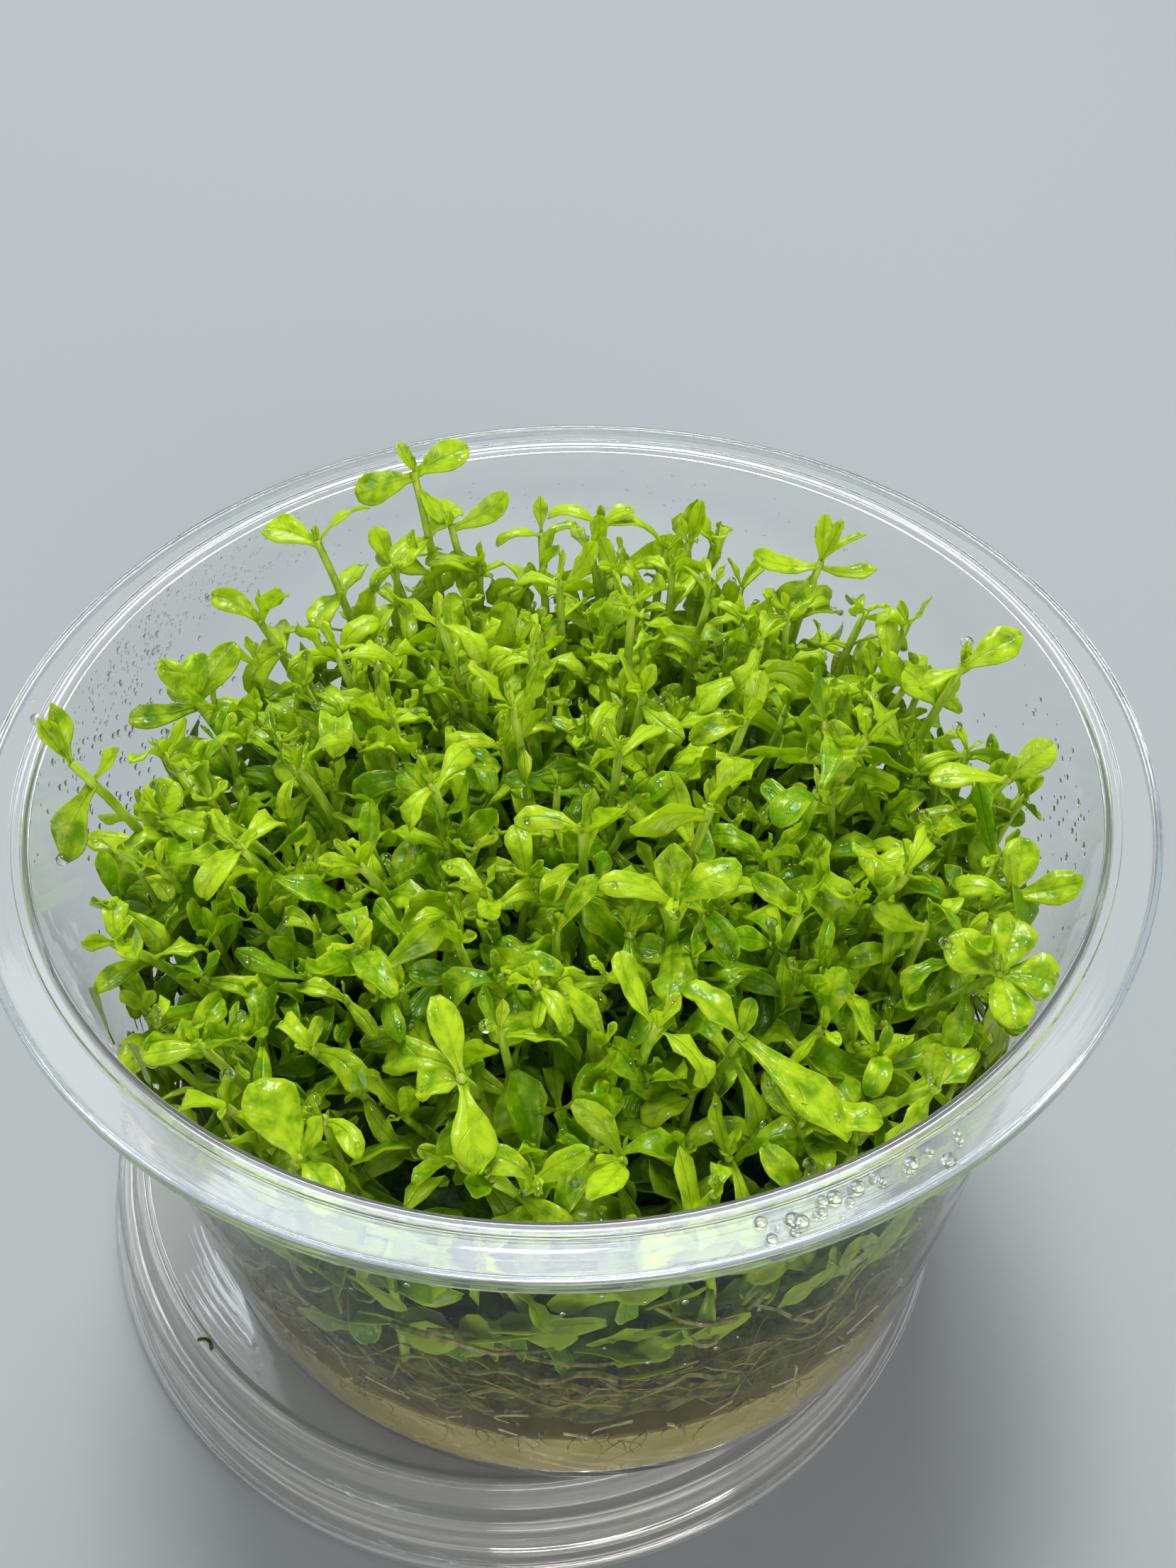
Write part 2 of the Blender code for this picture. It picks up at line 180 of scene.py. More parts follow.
class Bench:
    """A material's node tree on the bench, with one method that makes any node."""

    def __init__(self, name: str) -> None:
        """Starts an empty tree.

        Args:
            name: The material's name.
        """
        self.material = bpy.data.materials.new(name)
        self.material.use_nodes = True
        self.tree = self.material.node_tree
        self.tree.nodes.clear()

    def node(
        self,
        kind: str,
        settings: dict[str, object] | None = None,
        inputs: dict[int | str, object] | None = None,
        output: int | str = 0,
    ) -> Signal:
        """Adds a node.

        Args:
            kind: The node's type.
            settings: Its own settings, which are set first.
            inputs: Values or signals for its sockets.
            output: The output that is wanted.

        Returns:
            The wanted output.
        """
        made = self.tree.nodes.new(kind)
        for name, value in (settings or {}).items():
            setattr(made, name, value)
        for key, value in (inputs or {}).items():
            socket = made.inputs[key]
            if isinstance(value, Signal):
                self.tree.links.new(value.socket, socket)
            else:
                socket.default_value = (*value, 1.0) if socket.type == "RGBA" else value
        return Signal(self, made.outputs[output])

    def spot(self) -> Signal:
        """The point on the object."""
        return self.node("ShaderNodeTexCoord", output="Object")

    def part(self, vector: Signal, axis: str) -> Signal:
        """One axis of a vector."""
        return self.node("ShaderNodeSeparateXYZ", inputs={0: vector}, output=axis)

    def place(self, stretch: Triple = (1.0, 1.0, 1.0)) -> Signal:
        """The point on the object, stretched along each axis.

        Args:
            stretch: How many times each axis is stretched.

        Returns:
            The coordinates.
        """
        return self.node("ShaderNodeMapping", inputs={"Vector": self.spot(), "Scale": stretch})

    def attribute(self, name: str) -> Signal:
        """A value that the mesh carries on its vertices."""
        return self.node("ShaderNodeAttribute", {"attribute_name": name}, output="Fac")

    def grain(
        self, size: float, detail: float, stretch: Triple = (1.0, 1.0, 1.0)
    ) -> Signal:
        """Noise with lumps of a real size.

        Args:
            size: The size of a lump in metres.
            detail: How many finer layers it has.
            stretch: How many times each axis is stretched.

        Returns:
            Noise from 0 to 1 about a middle of 0.5.
        """
        return self.node(
            "ShaderNodeTexNoise",
            inputs={"Vector": self.place(stretch), "Scale": 1.0 / size, "Detail": detail},
        )

    def vector(self, operation: str, first: object, second: object = None) -> Signal:
        """Adds a Vector Math node.

        Args:
            operation: The node's operation.
            first: The first operand.
            second: The second operand, where the operation has one.

        Returns:
            The result.
        """
        inputs = {0: first} if second is None else {0: first, 1: second}
        return self.node("ShaderNodeVectorMath", {"operation": operation}, inputs)

    def streaks(self, axis: Vector, run: float, breadth: float) -> Signal:
        """Noise drawn out round an upright axis, as moulding leaves it.

        Args:
            axis: A point on the axis.
            run: A streak's length, STREAK_REACH from the axis.
            breadth: A streak's breadth.

        Returns:
            Noise from 0 to 1 about a middle of 0.5.
        """
        arm = self.vector("SUBTRACT", self.spot(), axis)
        level = self.vector("MULTIPLY", arm, (1.0, 1.0, 0.0))
        reach = self.node(
            "ShaderNodeVectorMath", {"operation": "LENGTH"}, {0: level}, output="Value"
        )
        lift = self.part(arm, "Z")
        turns = STREAK_REACH / run
        heading = self.vector("MULTIPLY", self.vector("NORMALIZE", level), (turns, turns, turns))
        depth = self.node("ShaderNodeCombineXYZ", inputs={"Z": (reach + lift) * (1.0 / breadth)})
        place = self.vector("ADD", heading, depth)
        return self.node(
            "ShaderNodeTexNoise", inputs={"Vector": place, "Scale": 1.0, "Detail": 2.0}
        )

    def mix(
        self, share: "Signal | float", first: "Signal | Colour", second: "Signal | Colour"
    ) -> Signal:
        """Mixes two colours.

        Args:
            share: How much of the second colour there is.
            first: The first colour.
            second: The second colour.

        Returns:
            The mixed colour.
        """
        return self.node(
            "ShaderNodeMix", {"data_type": "RGBA"}, {0: share, 6: first, 7: second}, 2
        )

    def bump(self, height: Signal, depth: float, strength: float) -> Signal:
        """A normal from a height signal.

        Args:
            height: The relief from 0 to 1.
            depth: What 1 stands for, in metres.
            strength: How much of the relief shows.

        Returns:
            The bent normal.
        """
        return self.node(
            "ShaderNodeBump", inputs={"Height": height, "Distance": depth, "Strength": strength}
        )

    def principled(self, **inputs: object) -> Signal:
        """A Principled shader.

        Args:
            **inputs: Its sockets by name, with _ for each space.

        Returns:
            The shader.
        """
        named = {name.replace("_", " "): value for name, value in inputs.items()}
        return self.node("ShaderNodeBsdfPrincipled", inputs=named)

    def translucent(self, colour: "Signal | Colour") -> Signal:
        """A shader that lets light through from behind."""
        return self.node("ShaderNodeBsdfTranslucent", inputs={"Color": colour})

    def blended(self, share: "Signal | float", first: Signal, second: Signal) -> Signal:
        """Mixes two shaders.

        Args:
            share: How much of the second shader there is.
            first: The first shader.
            second: The second shader.

        Returns:
            The mixed shader.
        """
        return self.node("ShaderNodeMixShader", inputs={0: share, 1: first, 2: second})

    def shown(self, surface: Signal) -> bpy.types.Material:
        """Shows a shader on the surface.

        Args:
            surface: The shader.

        Returns:
            The finished material.
        """
        output = self.tree.nodes.new("ShaderNodeOutputMaterial")
        self.tree.links.new(surface.socket, output.inputs["Surface"])
        return self.material


@dataclass(frozen=True)
class ClearPlastic:
    """Clear moulded plastic with flow marks and fine upright scratches.

    It may have streaks round its axis, a little haze and, on its far side, a white veil that the
    light behind it shines through: painted light that brightens the far side.
    """

    name: str
    tint: Colour
    axis: Vector
    index: float = 1.49
    polish: float = 0.015
    scuff: float = 0.10
    scratch_size: float = 0.7 * MM
    haze: float = 0.0
    far_veil: float = 0.0
    far_veil_start: float = -15.0 * MM
    far_veil_full: float = 25.0 * MM
    cloud_size: float = 7.0 * MM
    flow_size: float = 9.0 * MM
    flow_depth: float = 0.05 * MM
    streak_depth: float = 0.0
    streak_run: float = 14.0 * MM
    streak_breadth: float = 0.9 * MM

    def veiled_far_side(self, bench: Bench, clear: Signal) -> Signal:
        """Lays a thin white veil over the far side only: painted light, which the lamps behind it
        brighten.

        Args:
            bench: The material's bench.
            clear: The clear shader.

        Returns:
            The veiled shader.
        """
        # Painted light: the veil is laid on the far side only, where the lamps shine through the
        # wall from behind.
        far = bench.part(bench.spot(), "Y").ramp(self.far_veil_start, self.far_veil_full)
        cloud = bench.grain(self.cloud_size, 4.0).ramp(0.25, 0.7)
        share = far * (cloud * 0.5 + 0.5) * self.far_veil
        return bench.blended(share, clear, bench.translucent((1.0, 1.0, 1.0)))

    def material(self) -> bpy.types.Material:
        """Makes the material.

        Returns:
            The finished material.
        """
        bench = Bench(self.name)
        flow = bench.grain(self.flow_size, 1.0)
        scratches = bench.grain(self.scratch_size, 2.0, (1.0, 1.0, 0.05)).ramp(0.6, 0.85)
        relief = flow
        if self.streak_depth > 0.0:
            streaks = bench.streaks(self.axis, self.streak_run, self.streak_breadth)
            relief = flow + streaks * (self.streak_depth / self.flow_depth)
        surface = bench.principled(
            Base_Color=self.tint,
            Roughness=self.polish + scratches * self.scuff,
            IOR=self.index,
            Transmission_Weight=1.0 - self.haze,
            Normal=bench.bump(relief, self.flow_depth, 0.6),
        )
        if self.far_veil > 0.0:
            surface = self.veiled_far_side(bench, surface)
        return bench.shown(surface)


@dataclass(frozen=True)
class EdgeFinish:
    """Clear plastic, faintly whitened and streaked where it was trimmed and folded down."""

    name: str
    tint: Colour
    axis: Vector
    clear_share: float = 0.95
    streak_run: float = 12.0 * MM
    streak_breadth: float = 0.35 * MM

    def material(self) -> bpy.types.Material:
        """Makes the material.

        Returns:
            The finished material.
        """
        bench = Bench(self.name)
        streaks = bench.streaks(self.axis, self.streak_run, self.streak_breadth)
        surface = bench.principled(
            Base_Color=self.tint,
            Roughness=0.015 + streaks * 0.03,
            IOR=1.49,
            Transmission_Weight=self.clear_share,
            Normal=bench.bump(streaks, 0.01 * MM, 0.5),
        )
        return bench.shown(surface)


@dataclass(frozen=True)
class LeafFinish:
    """Wet, thin leaf: light shows through it, with a midrib, side veins and fine mottling. Its
    colour also holds painted shade, darker lower in the tuft, and painted light, a paler glow along
    its margins.
    """

    name: str
    young: Colour
    old: Colour
    # The colour and the heights of the painted shade low in the tuft.
    painted_shade: Colour
    glow: Colour
    glow_share: float = 0.44
    shade_full_below: float = 42.0 * MM
    shade_free_above: float = 63.0 * MM
    cell_size: float = 0.35 * MM
    wave_size: float = 0.9 * MM
    patch_size: float = 1.6 * MM
    relief_depth: float = 0.22 * MM

    def veins(self, bench: Bench) -> Signal:
        """Midrib and side veins as a relief from 0 to 1.

        Args:
            bench: The material's bench.

        Returns:
            The relief.
        """
        side = abs(bench.attribute("across"))
        midrib = side.ramp(0.2, 0.0)
        run = bench.attribute("along") * 34.0 - side * 9.0
        return midrib + run.wave().ramp(0.86, 1.0) * side.ramp(1.0, 0.5) * 0.35

    def material(self) -> bpy.types.Material:
        """Makes the material.

        Returns:
            The finished material.
        """
        bench = Bench(self.name)
        veins = self.veins(bench)
        cells = bench.grain(self.cell_size, 2.0)
        patches = bench.grain(self.patch_size, 4.0)
        # The tint holds each leaf's own tone and, for the shoots, painted light that pales them
        # towards the back.
        youth_and_back_glow = bench.attribute("tint") + (patches - 0.5) * 2.2
        leaf = bench.mix(youth_and_back_glow.ramp(0.1, 0.9), self.old, self.young)
        # Painted shade: leaves are painted darker the lower they sit in the tuft, where the canopy
        # shades them.
        painted_shade_share = bench.part(bench.spot(), "Z").ramp(self.shade_free_above, self.shade_full_below)
        leaf = bench.mix(painted_shade_share, leaf, self.painted_shade)
        # Painted light: a paler band along the margins stands in for light shining through the
        # leaf's edge; the lighter cells beside it are the leaf's own mottling.
        edge = abs(bench.attribute("across")).ramp(0.8, 1.0)
        light = edge * 0.45 + cells.ramp(0.5, 0.75) * 0.35
        leaf = bench.mix(light, leaf, self.young)
        leaf = bench.mix(veins * 0.25, leaf, self.old)
        glow = bench.mix(0.6, leaf, self.glow)
        waves = bench.grain(self.wave_size, 1.0)
        relief = patches * 1.5 + waves * 0.7 + cells * 0.12 - veins * 0.5
        front = bench.principled(
            Base_Color=leaf,
            Roughness=0.04 + cells * 0.1,
            IOR=1.42,
            Normal=bench.bump(relief, self.relief_depth, 0.7),
        )
        return bench.shown(bench.blended(self.glow_share, front, bench.translucent(glow)))


@dataclass(frozen=True)
class StemFinish:
    """Pale green, juicy stem with long streaks."""

    name: str
    pale: Colour
    green: Colour
    glow_share: float = 0.42
    streak_size: float = 0.8 * MM

    def material(self) -> bpy.types.Material:
        """Makes the material.

        Returns:
            The finished material.
        """
        bench = Bench(self.name)
        streaks = bench.grain(self.streak_size, 2.0, (1.0, 1.0, 0.2))
        colour = bench.mix(streaks.ramp(0.3, 0.75), self.green, self.pale)
        front = bench.principled(Base_Color=colour, Roughness=0.2 + streaks * 0.2, IOR=1.4)
        return bench.shown(bench.blended(self.glow_share, front, bench.translucent(colour)))


@dataclass(frozen=True)
class FibreFinish:
    """Roots: pale fibres that brown in patches. In dark greens it also paints the shade of the
    tuft's core.
    """

    name: str
    pale: Colour
    brown: Colour
    patch_size: float = 3.0 * MM
    fibre_size: float = 0.5 * MM
    relief_depth: float = 0.3 * MM
    roughness: float = 0.55

    def material(self) -> bpy.types.Material:
        """Makes the material.

        Returns:
            The finished material.
        """
        bench = Bench(self.name)
        patches = bench.grain(self.patch_size, 4.0)
        fibres = bench.grain(self.fibre_size, 3.0, (1.0, 1.0, 2.5))
        shade = patches * 0.6 + fibres * 0.4
        surface = bench.principled(
            Base_Color=bench.mix(shade.ramp(0.38, 0.62), self.brown, self.pale),
            Roughness=self.roughness + (fibres - 0.5) * 0.2,
            Specular_IOR_Level=0.15,
            Normal=bench.bump(fibres, self.relief_depth, 0.6),
        )
        return bench.shown(surface)


@dataclass(frozen=True)
class GelFinish:
    """Cloudy, see-through gel."""

    name: str
    clear: Colour
    cloudy: Colour
    clear_share: float = 0.55
    cloud_size: float = 5.0 * MM

    def material(self) -> bpy.types.Material:
        """Makes the material.

        Returns:
            The finished material.
        """
        bench = Bench(self.name)
        cloud = bench.grain(self.cloud_size, 4.0)
        surface = bench.principled(
            Base_Color=bench.mix(cloud.ramp(0.35, 0.7), self.clear, self.cloudy),
            Roughness=0.22 + cloud * 0.12,
            IOR=1.34,
            Transmission_Weight=self.clear_share,
            Normal=bench.bump(cloud, 0.2 * MM, 0.4),
        )
        return bench.shown(surface)


@dataclass(frozen=True)
class WaterFinish:
    """Clear water."""

    name: str

    def material(self) -> bpy.types.Material:
        """Makes the material.

        Returns:
            The finished material.
        """
        bench = Bench(self.name)
        ripple = bench.bump(bench.grain(0.9 * MM, 1.0), 0.01 * MM, 0.3)
        surface = bench.principled(
            Base_Color=(1.0, 1.0, 1.0),
            Roughness=0.0,
            IOR=1.33,
            Transmission_Weight=1.0,
            Normal=ripple,
        )
        return bench.shown(surface)


@dataclass(frozen=True)
class FloorFinish:
    """Plain pale table."""

    name: str
    colour: Colour

    def material(self) -> bpy.types.Material:
        """Makes the material.

        Returns:
            The finished material.
        """
        bench = Bench(self.name)
        paper = bench.grain(2.0 * MM, 2.0)
        surface = bench.principled(
            Base_Color=self.colour, Roughness=0.8 + paper * 0.1, Specular_IOR_Level=0.1
        )
        return bench.shown(surface)


@dataclass(frozen=True)
class Corner:
    """A corner of a turned outline, with the radius that rounds it off."""

    radius: float
    height: float
    fillet: float = 0.0

    def point(self) -> Vector:
        """The corner in the plane that is turned."""
        return Vector((self.radius, 0.0, self.height))


def rounded(corners: list[Corner], steps: int = 5) -> list[Vector]:
    """Rounds an outline's corners with arcs.

    Args:
        corners: The corners in order.
        steps: The parts of each arc.

    Returns:
        The outline's points.
    """
    points = [corners[0].point()]
    for before, corner, after in zip(corners, corners[1:], corners[2:]):
        here = corner.point()
        back = before.point() - here
        ahead = after.point() - here
        if corner.fillet <= 0.0:
            points.append(here)
            continue
        half = back.angle(ahead) / 2
        cut = min(corner.fillet / math.tan(half), 0.48 * back.length, 0.48 * ahead.length)
        radius = cut * math.tan(half)
        centre = here + (back.normalized() + ahead.normalized()).normalized() * (
            radius / math.sin(half)
        )
        start = here + back.normalized() * cut - centre
        end = here + ahead.normalized() * cut - centre
        for step in range(steps + 1):
            points.append(centre + start.lerp(end, step / steps).normalized() * radius)
    points.append(corners[-1].point())
    return points


def braced(outline: list[Vector], margin: float = 0.06, longest: float = 0.4) -> list[Vector]:
    """Adds points near both ends of each straight, so that it is shaded as straight.

    Args:
        outline: The outline's points in millimetres.
        margin: How far from an end a point is added.
        longest: The longest part that is left as it is.

    Returns:
        The outline with the added points.
    """
    points = [outline[0]]
    for before, after in zip(outline, outline[1:]):
        length = (after - before).length
        if length > longest:
            points.append(before.lerp(after, margin / length))
            points.append(after.lerp(before, margin / length))
        points.append(after)
    return points


def finished(
    bm: bmesh.types.BMesh,
    name: str,
    materials: Iterable[bpy.types.Material],
    place: Vector,
    sharp: float = HARD_EDGE,
) -> bpy.types.Object:
    """Sets a mesh down in its place as an object that sits at the origin.

    Args:
        bm: The mesh, which is freed.
        name: The piece's name.
        materials: Its materials in the order of its faces' numbers.
        place: Where the mesh's own origin goes.
        sharp: The angle over which an edge is shaded sharp.

    Returns:
        The object.
    """
    bmesh.ops.translate(bm, verts=bm.verts, vec=place)
    bmesh.ops.recalc_face_normals(bm, faces=bm.faces)
    mesh = bpy.data.meshes.new(name)
    bm.to_mesh(mesh)
    bm.free()
    mesh.shade_smooth()
    mesh.set_sharp_from_angle(angle=sharp)
    for material in materials:
        mesh.materials.append(material)
    piece = bpy.data.objects.new(name, mesh)
    bpy.context.scene.collection.objects.link(piece)
    return piece


def handed_in(piece: bpy.types.Object, slot: Slot, *nodes: str) -> None:
    """Attaches a piece to its body, hides the solids that it stands for and logs its triangles.

    Args:
        piece: The finished piece.
        slot: The record's slot for its finish; not used.
        *nodes: The solids that it replaces.
    """
    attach(piece, "root")
    if nodes:
        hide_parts(*nodes)
    triangles = sum(len(face.vertices) - 2 for face in piece.data.polygons)
    log.info("%s: %d triangles", piece.name, triangles)


def turned(
    corners: list[Corner], name: str, material: bpy.types.Material, place: Vector, steps: int = 240
) -> bpy.types.Object:
    """Turns an outline, from axis to axis or closed in itself, into a round piece.

    Args:
        corners: The outline's corners in millimetres.
        name: The piece's name.
        material: Its material.
        place: Where its axis and its foot go.
        steps: The parts of a full turn.

    Returns:
        The piece.
    """
    bm = bmesh.new()
    line = [bm.verts.new(point * MM) for point in braced(rounded(corners))]
    edges = [bm.edges.new(pair) for pair in zip(line, line[1:])]
    bmesh.ops.spin(
        bm,
        geom=line + edges,
        cent=(0.0, 0.0, 0.0),
        axis=UP,
        dvec=(0.0, 0.0, 0.0),
        angle=math.tau,
        steps=steps,
        use_merge=True,
        use_duplicate=False,
    )
    bmesh.ops.remove_doubles(bm, verts=bm.verts, dist=0.001 * MM)
    return finished(bm, name, [material], place, TURNED_EDGE)


@dataclass(frozen=True)
class CupPlace:
    """The cup's frame: where it stands, and the inner wall that holds the plants."""

    origin: Vector
    height: float
    rim_radius: float
    wall: float = 0.8 * MM
    sheet: float = 0.48 * MM
    foot_radius: float = 45.5 * MM
    top_radius: float = 48.3 * MM
    flare: float = 1.6 * MM

    @classmethod
    def from_frame(cls) -> "CupPlace":
        """Reads the cup's place from its solid.

        Returns:
            The cup's place.
        """
        low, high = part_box("cup")
        middle = (low + high) / 2
        origin = Vector((middle.x, middle.y, low.z))
        return cls(origin, high.z - low.z, (high.x - low.x) / 2)

    def inner_radius(self, height: float) -> float:
        """The radius of the inner wall at a height above the cup's base."""
        share = height / (self.height - self.flare)
        return self.foot_radius + (self.top_radius - self.foot_radius) * share - self.wall

    def holds(self, point: Vector, room: float) -> bool:
        """Whether a point keeps this much room to the wall, or is above the rim."""
        return point.z > self.height or point.xy.length < self.inner_radius(point.z) - room

    def pressed(self, point: Vector, soft: float = 0.9 * MM, room: float = 0.15 * MM) -> Vector:
        """Eases a point inwards where it would pass through the wall.

        Args:
            point: The point in the cup's frame.
            soft: How far from the wall the easing starts.
            room: The room that is left at the wall.

        Returns:
            The point inside the wall.
        """
        reach = point.xy.length
        start = self.inner_radius(min(point.z, self.height)) - room - soft
        if reach <= start:
            return point
        eased = start + soft * (1.0 - math.exp(-(reach - start) / soft))
        return Vector((point.x * eased / reach, point.y * eased / reach, point.z))

    def at(self, angle: float, height: float, inset: float) -> Vector:
        """A point this far inside the inner wall."""
        reach = self.inner_radius(height) - inset
        return Vector((reach * math.cos(angle), reach * math.sin(angle), height))


@dataclass
class Cup:
    """The clear cup: tapered wall, beaded mouth and flat rim. Millimetres in its own frame."""

    place: CupPlace
    wall: ClearPlastic
    flange: ClearPlastic
    edge: EdgeFinish
    edge_breadth: float = 0.52
    lip_drop: float = 1.5
    seam_drop: float = 1.05
    seam_gap: float = 0.03
    flat_drop: float = 0.16
    floor_top: float = 1.0
    foot_ring: float = 0.4

    def mouth(self) -> float:
        """The radius of the opening in millimetres."""
        return self.place.inner_radius(self.place.height - self.place.flare) / MM

    def wall_corners(self) -> list[Corner]:
        """The outline from the middle of the inner floor over the wall to the underside.

        Returns:
            Its corners.
        """
        floor = (self.place.foot_radius - self.place.wall) / MM
        sheet = self.place.sheet / MM
        seam = self.place.height / MM - self.seam_drop - self.seam_gap
        mouth = self.mouth()
        return [
            Corner(0.0, self.floor_top),
            Corner(floor + 0.05, self.floor_top, 1.9),
            Corner(mouth, seam, 0.05),
            Corner(mouth + sheet, seam, 0.05),
            Corner(floor + sheet + 0.1, 0.3, 2.0),
            Corner(floor - 3.0, 0.0, 0.25),
            Corner(floor - 3.6, self.foot_ring, 0.25),
            Corner(0.0, self.foot_ring),
        ]

    def rim_corners(self) -> list[Corner]:
        """The closed outline of the flange, from its middle over the lip and the mouth.

        Returns:
            Its corners.
        """
        top = self.place.height / MM
        rim = self.place.rim_radius / MM
        sheet = self.place.sheet / MM
        seam = top - self.seam_drop
        flat = top - self.flat_drop
        mouth = self.mouth()
        return [
            Corner(mouth + 2.4, flat),
            Corner(rim - 0.62, flat, 0.25),
            Corner(rim - 0.5, top, 0.2),
            Corner(rim, top, 0.35),
            Corner(rim, top - self.lip_drop, 0.25),
            Corner(rim - 0.45, top - self.lip_drop, 0.2),
            Corner(rim - 0.5, flat - sheet, 0.4),
            Corner(mouth + sheet, flat - sheet, 0.3),
            Corner(mouth + sheet, seam, 0.05),
            Corner(mouth, seam, 0.05),
            Corner(mouth, flat + 0.04, 0.75),
            Corner(mouth + 1.15, flat + 0.04, 0.12),
            Corner(mouth + 1.3, flat - 0.1, 0.08),
            Corner(mouth + 1.45, flat + 0.02, 0.12),
            Corner(mouth + 2.4, flat),
        ]

    def build(self) -> None:
        """Builds the cup's wall and its flange."""
        spot = self.place.origin
        wall = turned(self.wall_corners(), "fine_cup_wall", self.wall.material(), spot)
        rim = turned(self.rim_corners(), "fine_cup_rim", self.flange.material(), spot)
        rim.data.materials.append(self.edge.material())
        outside = self.place.rim_radius - self.edge_breadth * MM
        for face in rim.data.polygons:
            face.material_index = int((face.center - spot).xy.length > outside)
        for piece in (wall, rim):
            handed_in(piece, Slot.CUP, "cup")


@dataclass
class Lid:
    """The clear lid: sunk panel, raised edge, shoulder, ribbed skirt and lip."""

    finish: ClearPlastic
    wall: float = 0.8
    panel_drop: float = 0.35
    shoulder: float = 9.0
    skirt_radius: float = 51.35
    skirt_foot: float = 2.6
    skirt_taper: float = 0.08
    rib: float = 0.22
    rib_half: float = 0.35
    rib_heights: Triple = (6.3, 5.1, 3.9)
    origin: Vector = field(init=False)
    top: float = field(init=False)
    lip: float = field(init=False)

    def __post_init__(self) -> None:
        """Reads the lid's place from its solid."""
        low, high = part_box("lid")
        middle = (low + high) / 2
        self.origin = Vector((middle.x, middle.y, low.z))
        self.top = (high.z - low.z) / MM
        self.lip = (high.x - low.x) / 2 / MM

    def ribs(self) -> list[Corner]:
        """The thin ribs round the skirt, from the top down.

        Returns:
            Their corners.
        """
        corners = []
        for height in self.rib_heights:
            skirt = self.skirt_radius - self.skirt_taper * (height - self.skirt_foot)
            corners += [
                Corner(skirt, height + self.rib_half, 0.15),
                Corner(skirt + self.rib, height, 0.12),
                Corner(skirt, height - self.rib_half, 0.15),
            ]
        return corners

    def corners(self) -> list[Corner]:
        """The outline from the middle of the top down the outside and back up the inside.

        Returns:
            Its corners.
        """
        top, lip, wall, shoulder = self.top, self.lip, self.wall, self.shoulder
        panel = top - self.panel_drop
        under_panel = top - wall - self.panel_drop
        return [
            Corner(0.0, panel),
            Corner(lip - 6.5, panel, 0.4),
            Corner(lip - 6.0, top, 0.3),
            Corner(lip - 4.9, top, 0.4),
            Corner(lip - 4.1, shoulder + 0.2, 0.5),
            Corner(lip - 3.5, shoulder, 0.4),
            Corner(lip - 2.0, shoulder - 0.1, 0.6),
            *self.ribs(),
            Corner(lip - 1.5, 2.3, 0.3),
            Corner(lip, 2.2, 0.4),
            Corner(lip, 0.0, 0.2),
            Corner(lip - wall, 0.0, 0.2),
            Corner(lip - wall, 1.45, 0.3),
            Corner(lip - 2.3, 1.5, 0.3),
            Corner(lip - 2.85, shoulder - wall, 0.5),
            Corner(lip - 4.7, shoulder - wall + 0.1, 0.5),
            Corner(lip - 5.6, top - wall - 0.1, 0.4),
            Corner(lip - 6.3, under_panel, 0.3),
            Corner(0.0, under_panel),
        ]

    def build(self) -> None:
        """Builds the lid."""
        piece = turned(self.corners(), "fine_lid", self.finish.material(), self.origin)
        handed_in(piece, Slot.LID, "lid")


@dataclass
class Gel:
    """The disc of gel, which climbs the wall a little."""

    place: CupPlace
    finish: GelFinish
    top: float = 12.2
    floor: float = 1.12
    inset: float = 0.12
    climb: float = 0.45
    sag: float = 0.3
    steps: int = 160

    def corners(self) -> list[Corner]:
        """The outline from the middle of the top down to the middle of the floor.

        Returns:
            Its corners.
        """
        edge = self.place.inner_radius((self.top + 0.5) * MM) / MM - self.inset
        foot = self.place.inner_radius(2.0 * MM) / MM - self.inset
        return [
            Corner(0.0, self.top - self.sag),
            Corner(edge * 0.5, self.top + 0.1, 6.0),
            Corner(edge - 2.4, self.top - self.sag, 2.0),
            Corner(edge - 0.35, self.top + self.climb, 0.2),
            Corner(edge, self.top + self.climb, 0.1),
            Corner(foot, self.floor + 0.9, 0.5),
            Corner(foot - 1.6, self.floor, 1.0),
            Corner(0.0, self.floor),
        ]

    def build(self) -> None:
        """Builds the gel."""
        material = self.finish.material()
        piece = turned(self.corners(), "fine_gel", material, self.place.origin, self.steps)
        handed_in(piece, Slot.GEL, "gel")


class Marks:
    """The values that a plant's mesh carries on its vertices."""

    def __init__(self, bm: bmesh.types.BMesh) -> None:
        """Adds the layers to a mesh.

        Args:
            bm: The mesh.
        """
        self.along = bm.verts.layers.float.new("along")
        self.across = bm.verts.layers.float.new("across")
        self.tint = bm.verts.layers.float.new("tint")


def started() -> bmesh.types.BMesh:
    """An empty mesh with a plant's layers."""
    bm = bmesh.new()
    Marks(bm)
    return bm


def poured(target: bmesh.types.BMesh, bm: bmesh.types.BMesh) -> None:
    """Joins a small mesh to a large one; bmesh's operators are quick only in small meshes.

    Args:
        target: The large mesh, which has the same layers.
        bm: The small mesh, which is freed.
    """
    mesh = bpy.data.meshes.new("poured")
    bm.to_mesh(mesh)
    bm.free()
    target.from_mesh(mesh)
    bpy.data.meshes.remove(mesh)


@dataclass(frozen=True)
class Perch:
    """A spot on a leaf where a drop can sit, and the leaf's tip, where one can hang."""

    point: Vector
    normal: Vector
    tip: Vector


@dataclass(frozen=True)
class Station:
    """One cross-section of a leaf."""

    centre: Vector
    side: Vector
    normal: Vector
    half_width: float
    lift: float
    ruffle: float

    def spot(self, across: float) -> Vector:
        """A point of the blade.

        Args:
            across: How far across the blade, from -1 at one edge to 1 at the other.

        Returns:
            The point.
        """
        raised = self.lift * abs(across) ** TROUGH_POWER + self.ruffle * across * abs(across)
        return (
            self.centre
            + self.side * (across * self.half_width)
            + self.normal * (raised * self.half_width)
        )


